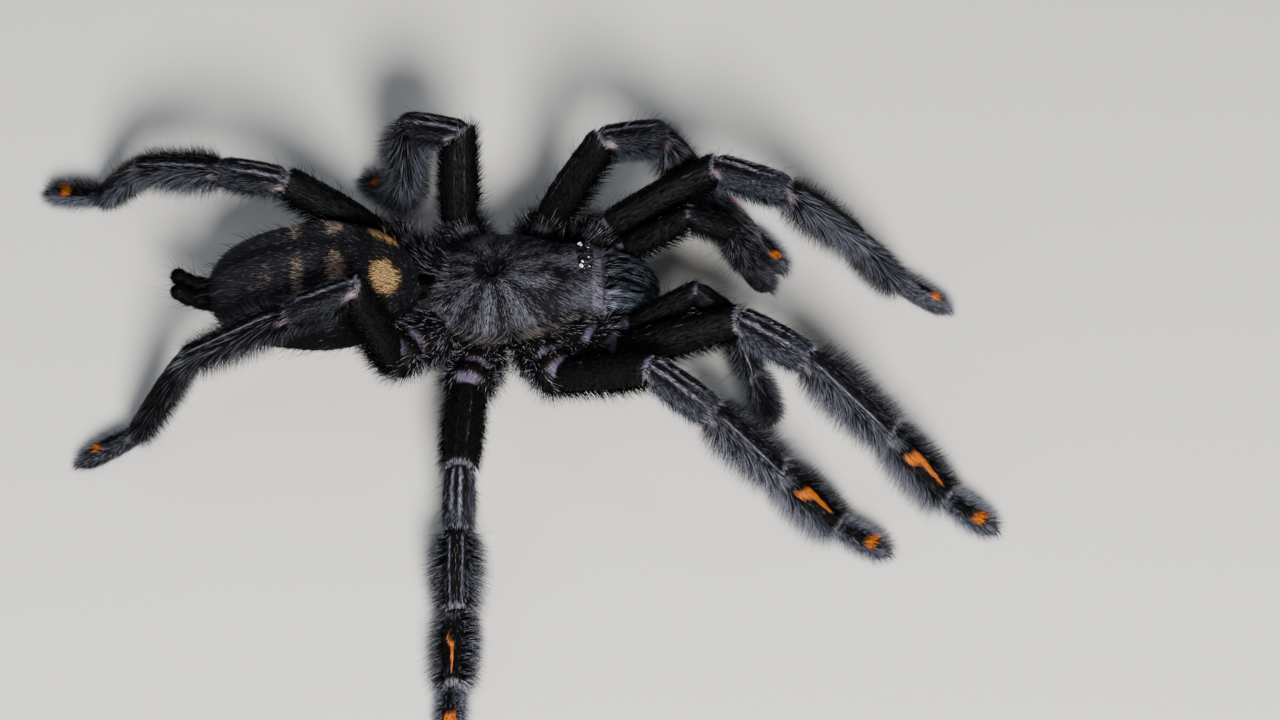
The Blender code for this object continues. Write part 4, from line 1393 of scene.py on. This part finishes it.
def lights():
    """Round soft lamps that look at the animal, and a little light from all round."""
    for name, (place, width, power, colour) in LAMPS.items():
        data = bpy.data.lights.new(name, "AREA")
        data.shape = "DISK"
        data.size, data.energy = width, power
        data.color = linear(colour)
        lamp = add_to_scene(name, data)
        lamp.location = place
        lamp.rotation_euler = (Vector((0, 0, 0.01)) - Vector(place)).to_track_quat("-Z", "Y").to_euler()
    world = bpy.data.worlds.new("studio")
    world.use_nodes = True
    background = world.node_tree.nodes["Background"]
    background.inputs["Color"].default_value = (*linear(AIR_COLOUR), 1)
    background.inputs["Strength"].default_value = AIR_STRENGTH
    bpy.context.scene.world = world


# ---------------------------------------------------------------- the whole animal

STRIPS = 20  # even strips of the skin's unwrap, with room at their edges for the hairs' patches


def strip(at, height=1):
    """One of the strips, or several side by side."""
    return (0.01, at / STRIPS + HAIR_PATCH, 0.985, (at + height) / STRIPS - 0.005)


def small_cell(at):
    """The first or second half of the last strip."""
    u0, v0, u1, v1 = strip(STRIPS - 1)
    return (u0 + (u1 - u0) * at / 2, v0, u0 + (u1 - u0) * (at + 0.96) / 2, v1)


def dress_limbs(tree, hair):
    """Skin and coat of every limb, with the legs' tips and the nodes that they stand for."""
    skins, tips, replaced = [], [], []
    for side, sign in SIDES.items():
        for pair in (1, 2, 3, 4, 0):
            name = f"leg_{pair}_{side}" if pair else f"palp_{side}"
            kinds, bares = (LEG_SEGMENTS, LEG_BARE) if pair else (PALP_SEGMENTS, PALP_BARE)
            nodes = [f"{name}_{kind}" for kind in kinds]
            hip = HIP_RADIUS if pair else PALP_HIP_RADIUS
            rings, tip, way = limb_rings(nodes, kinds, bares, -sign, pair, hip)
            at = len(skins)
            skin = skin_piece(f"{name}_skin", rings, strip(at))
            coat_piece(name, skin, tree, hair, 10 + at, "lower_leg")
            skins.append(skin)
            replaced += nodes
            if pair:
                tips.append((tip, way))
    return skins, tips, replaced


def dress_body(tree, hair):
    """Skin and coat of the rest: name, rings, cell of the unwrap, slot and how far hairs stray."""
    stretches = [
        ("carapace", carapace_rings(), strip(10, 2), "shell", 0.09),
        ("abdomen", abdomen_rings(), strip(12, 2), "abdomen", 0.25),
        ("sternum", trunk_rings(), strip(14), "shell", 0.3),
        ("eye_mound", eye_mound_rings(), small_cell(0), "eyes", 0.2),
        ("pedicel", pedicel_rings(), small_cell(1), "shell", 0.3),
    ]
    for at, (side, sign) in enumerate(SIDES.items()):
        jaw, spinneret = f"chelicera_{side}", f"spinneret_{side}"
        stretches.append((jaw, jaw_rings(jaw, sign), strip(15 + at), "shell", 0.05))
        stretches.append((spinneret, spinneret_rings(spinneret), strip(17 + at), "abdomen", 0.3))
    skins = []
    for at, (name, rings, cell, slot, scatter) in enumerate(stretches):
        skin = skin_piece(f"{name}_skin", rings, cell)
        coat_piece(name, skin, tree, hair, 40 + at, slot, Scatter=scatter)
        skins.append(skin)
    return skins


def main():
    camera()
    floor()
    lights()
    hair, cuticle = hair_material(), skin_material()
    tree = coat_tree()
    limb_skins, tips, replaced = dress_limbs(tree, hair)
    body_skins = dress_body(tree, hair)
    skin = join(limb_skins + body_skins, "skin")
    skin.data.materials.clear()
    skin.data.materials.append(cuticle)
    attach(skin, "root")
    replaced += ["carapace", "sternum_and_hips", "pedicel", "abdomen", "eye_mound"]
    replaced += [f"{part}_{side}" for part in ("chelicera", "spinneret") for side in SIDES]
    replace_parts(skin, *replaced)
    eyes()
    polished = fang_material()
    fangs(polished)
    claws(polished, tips)


main()
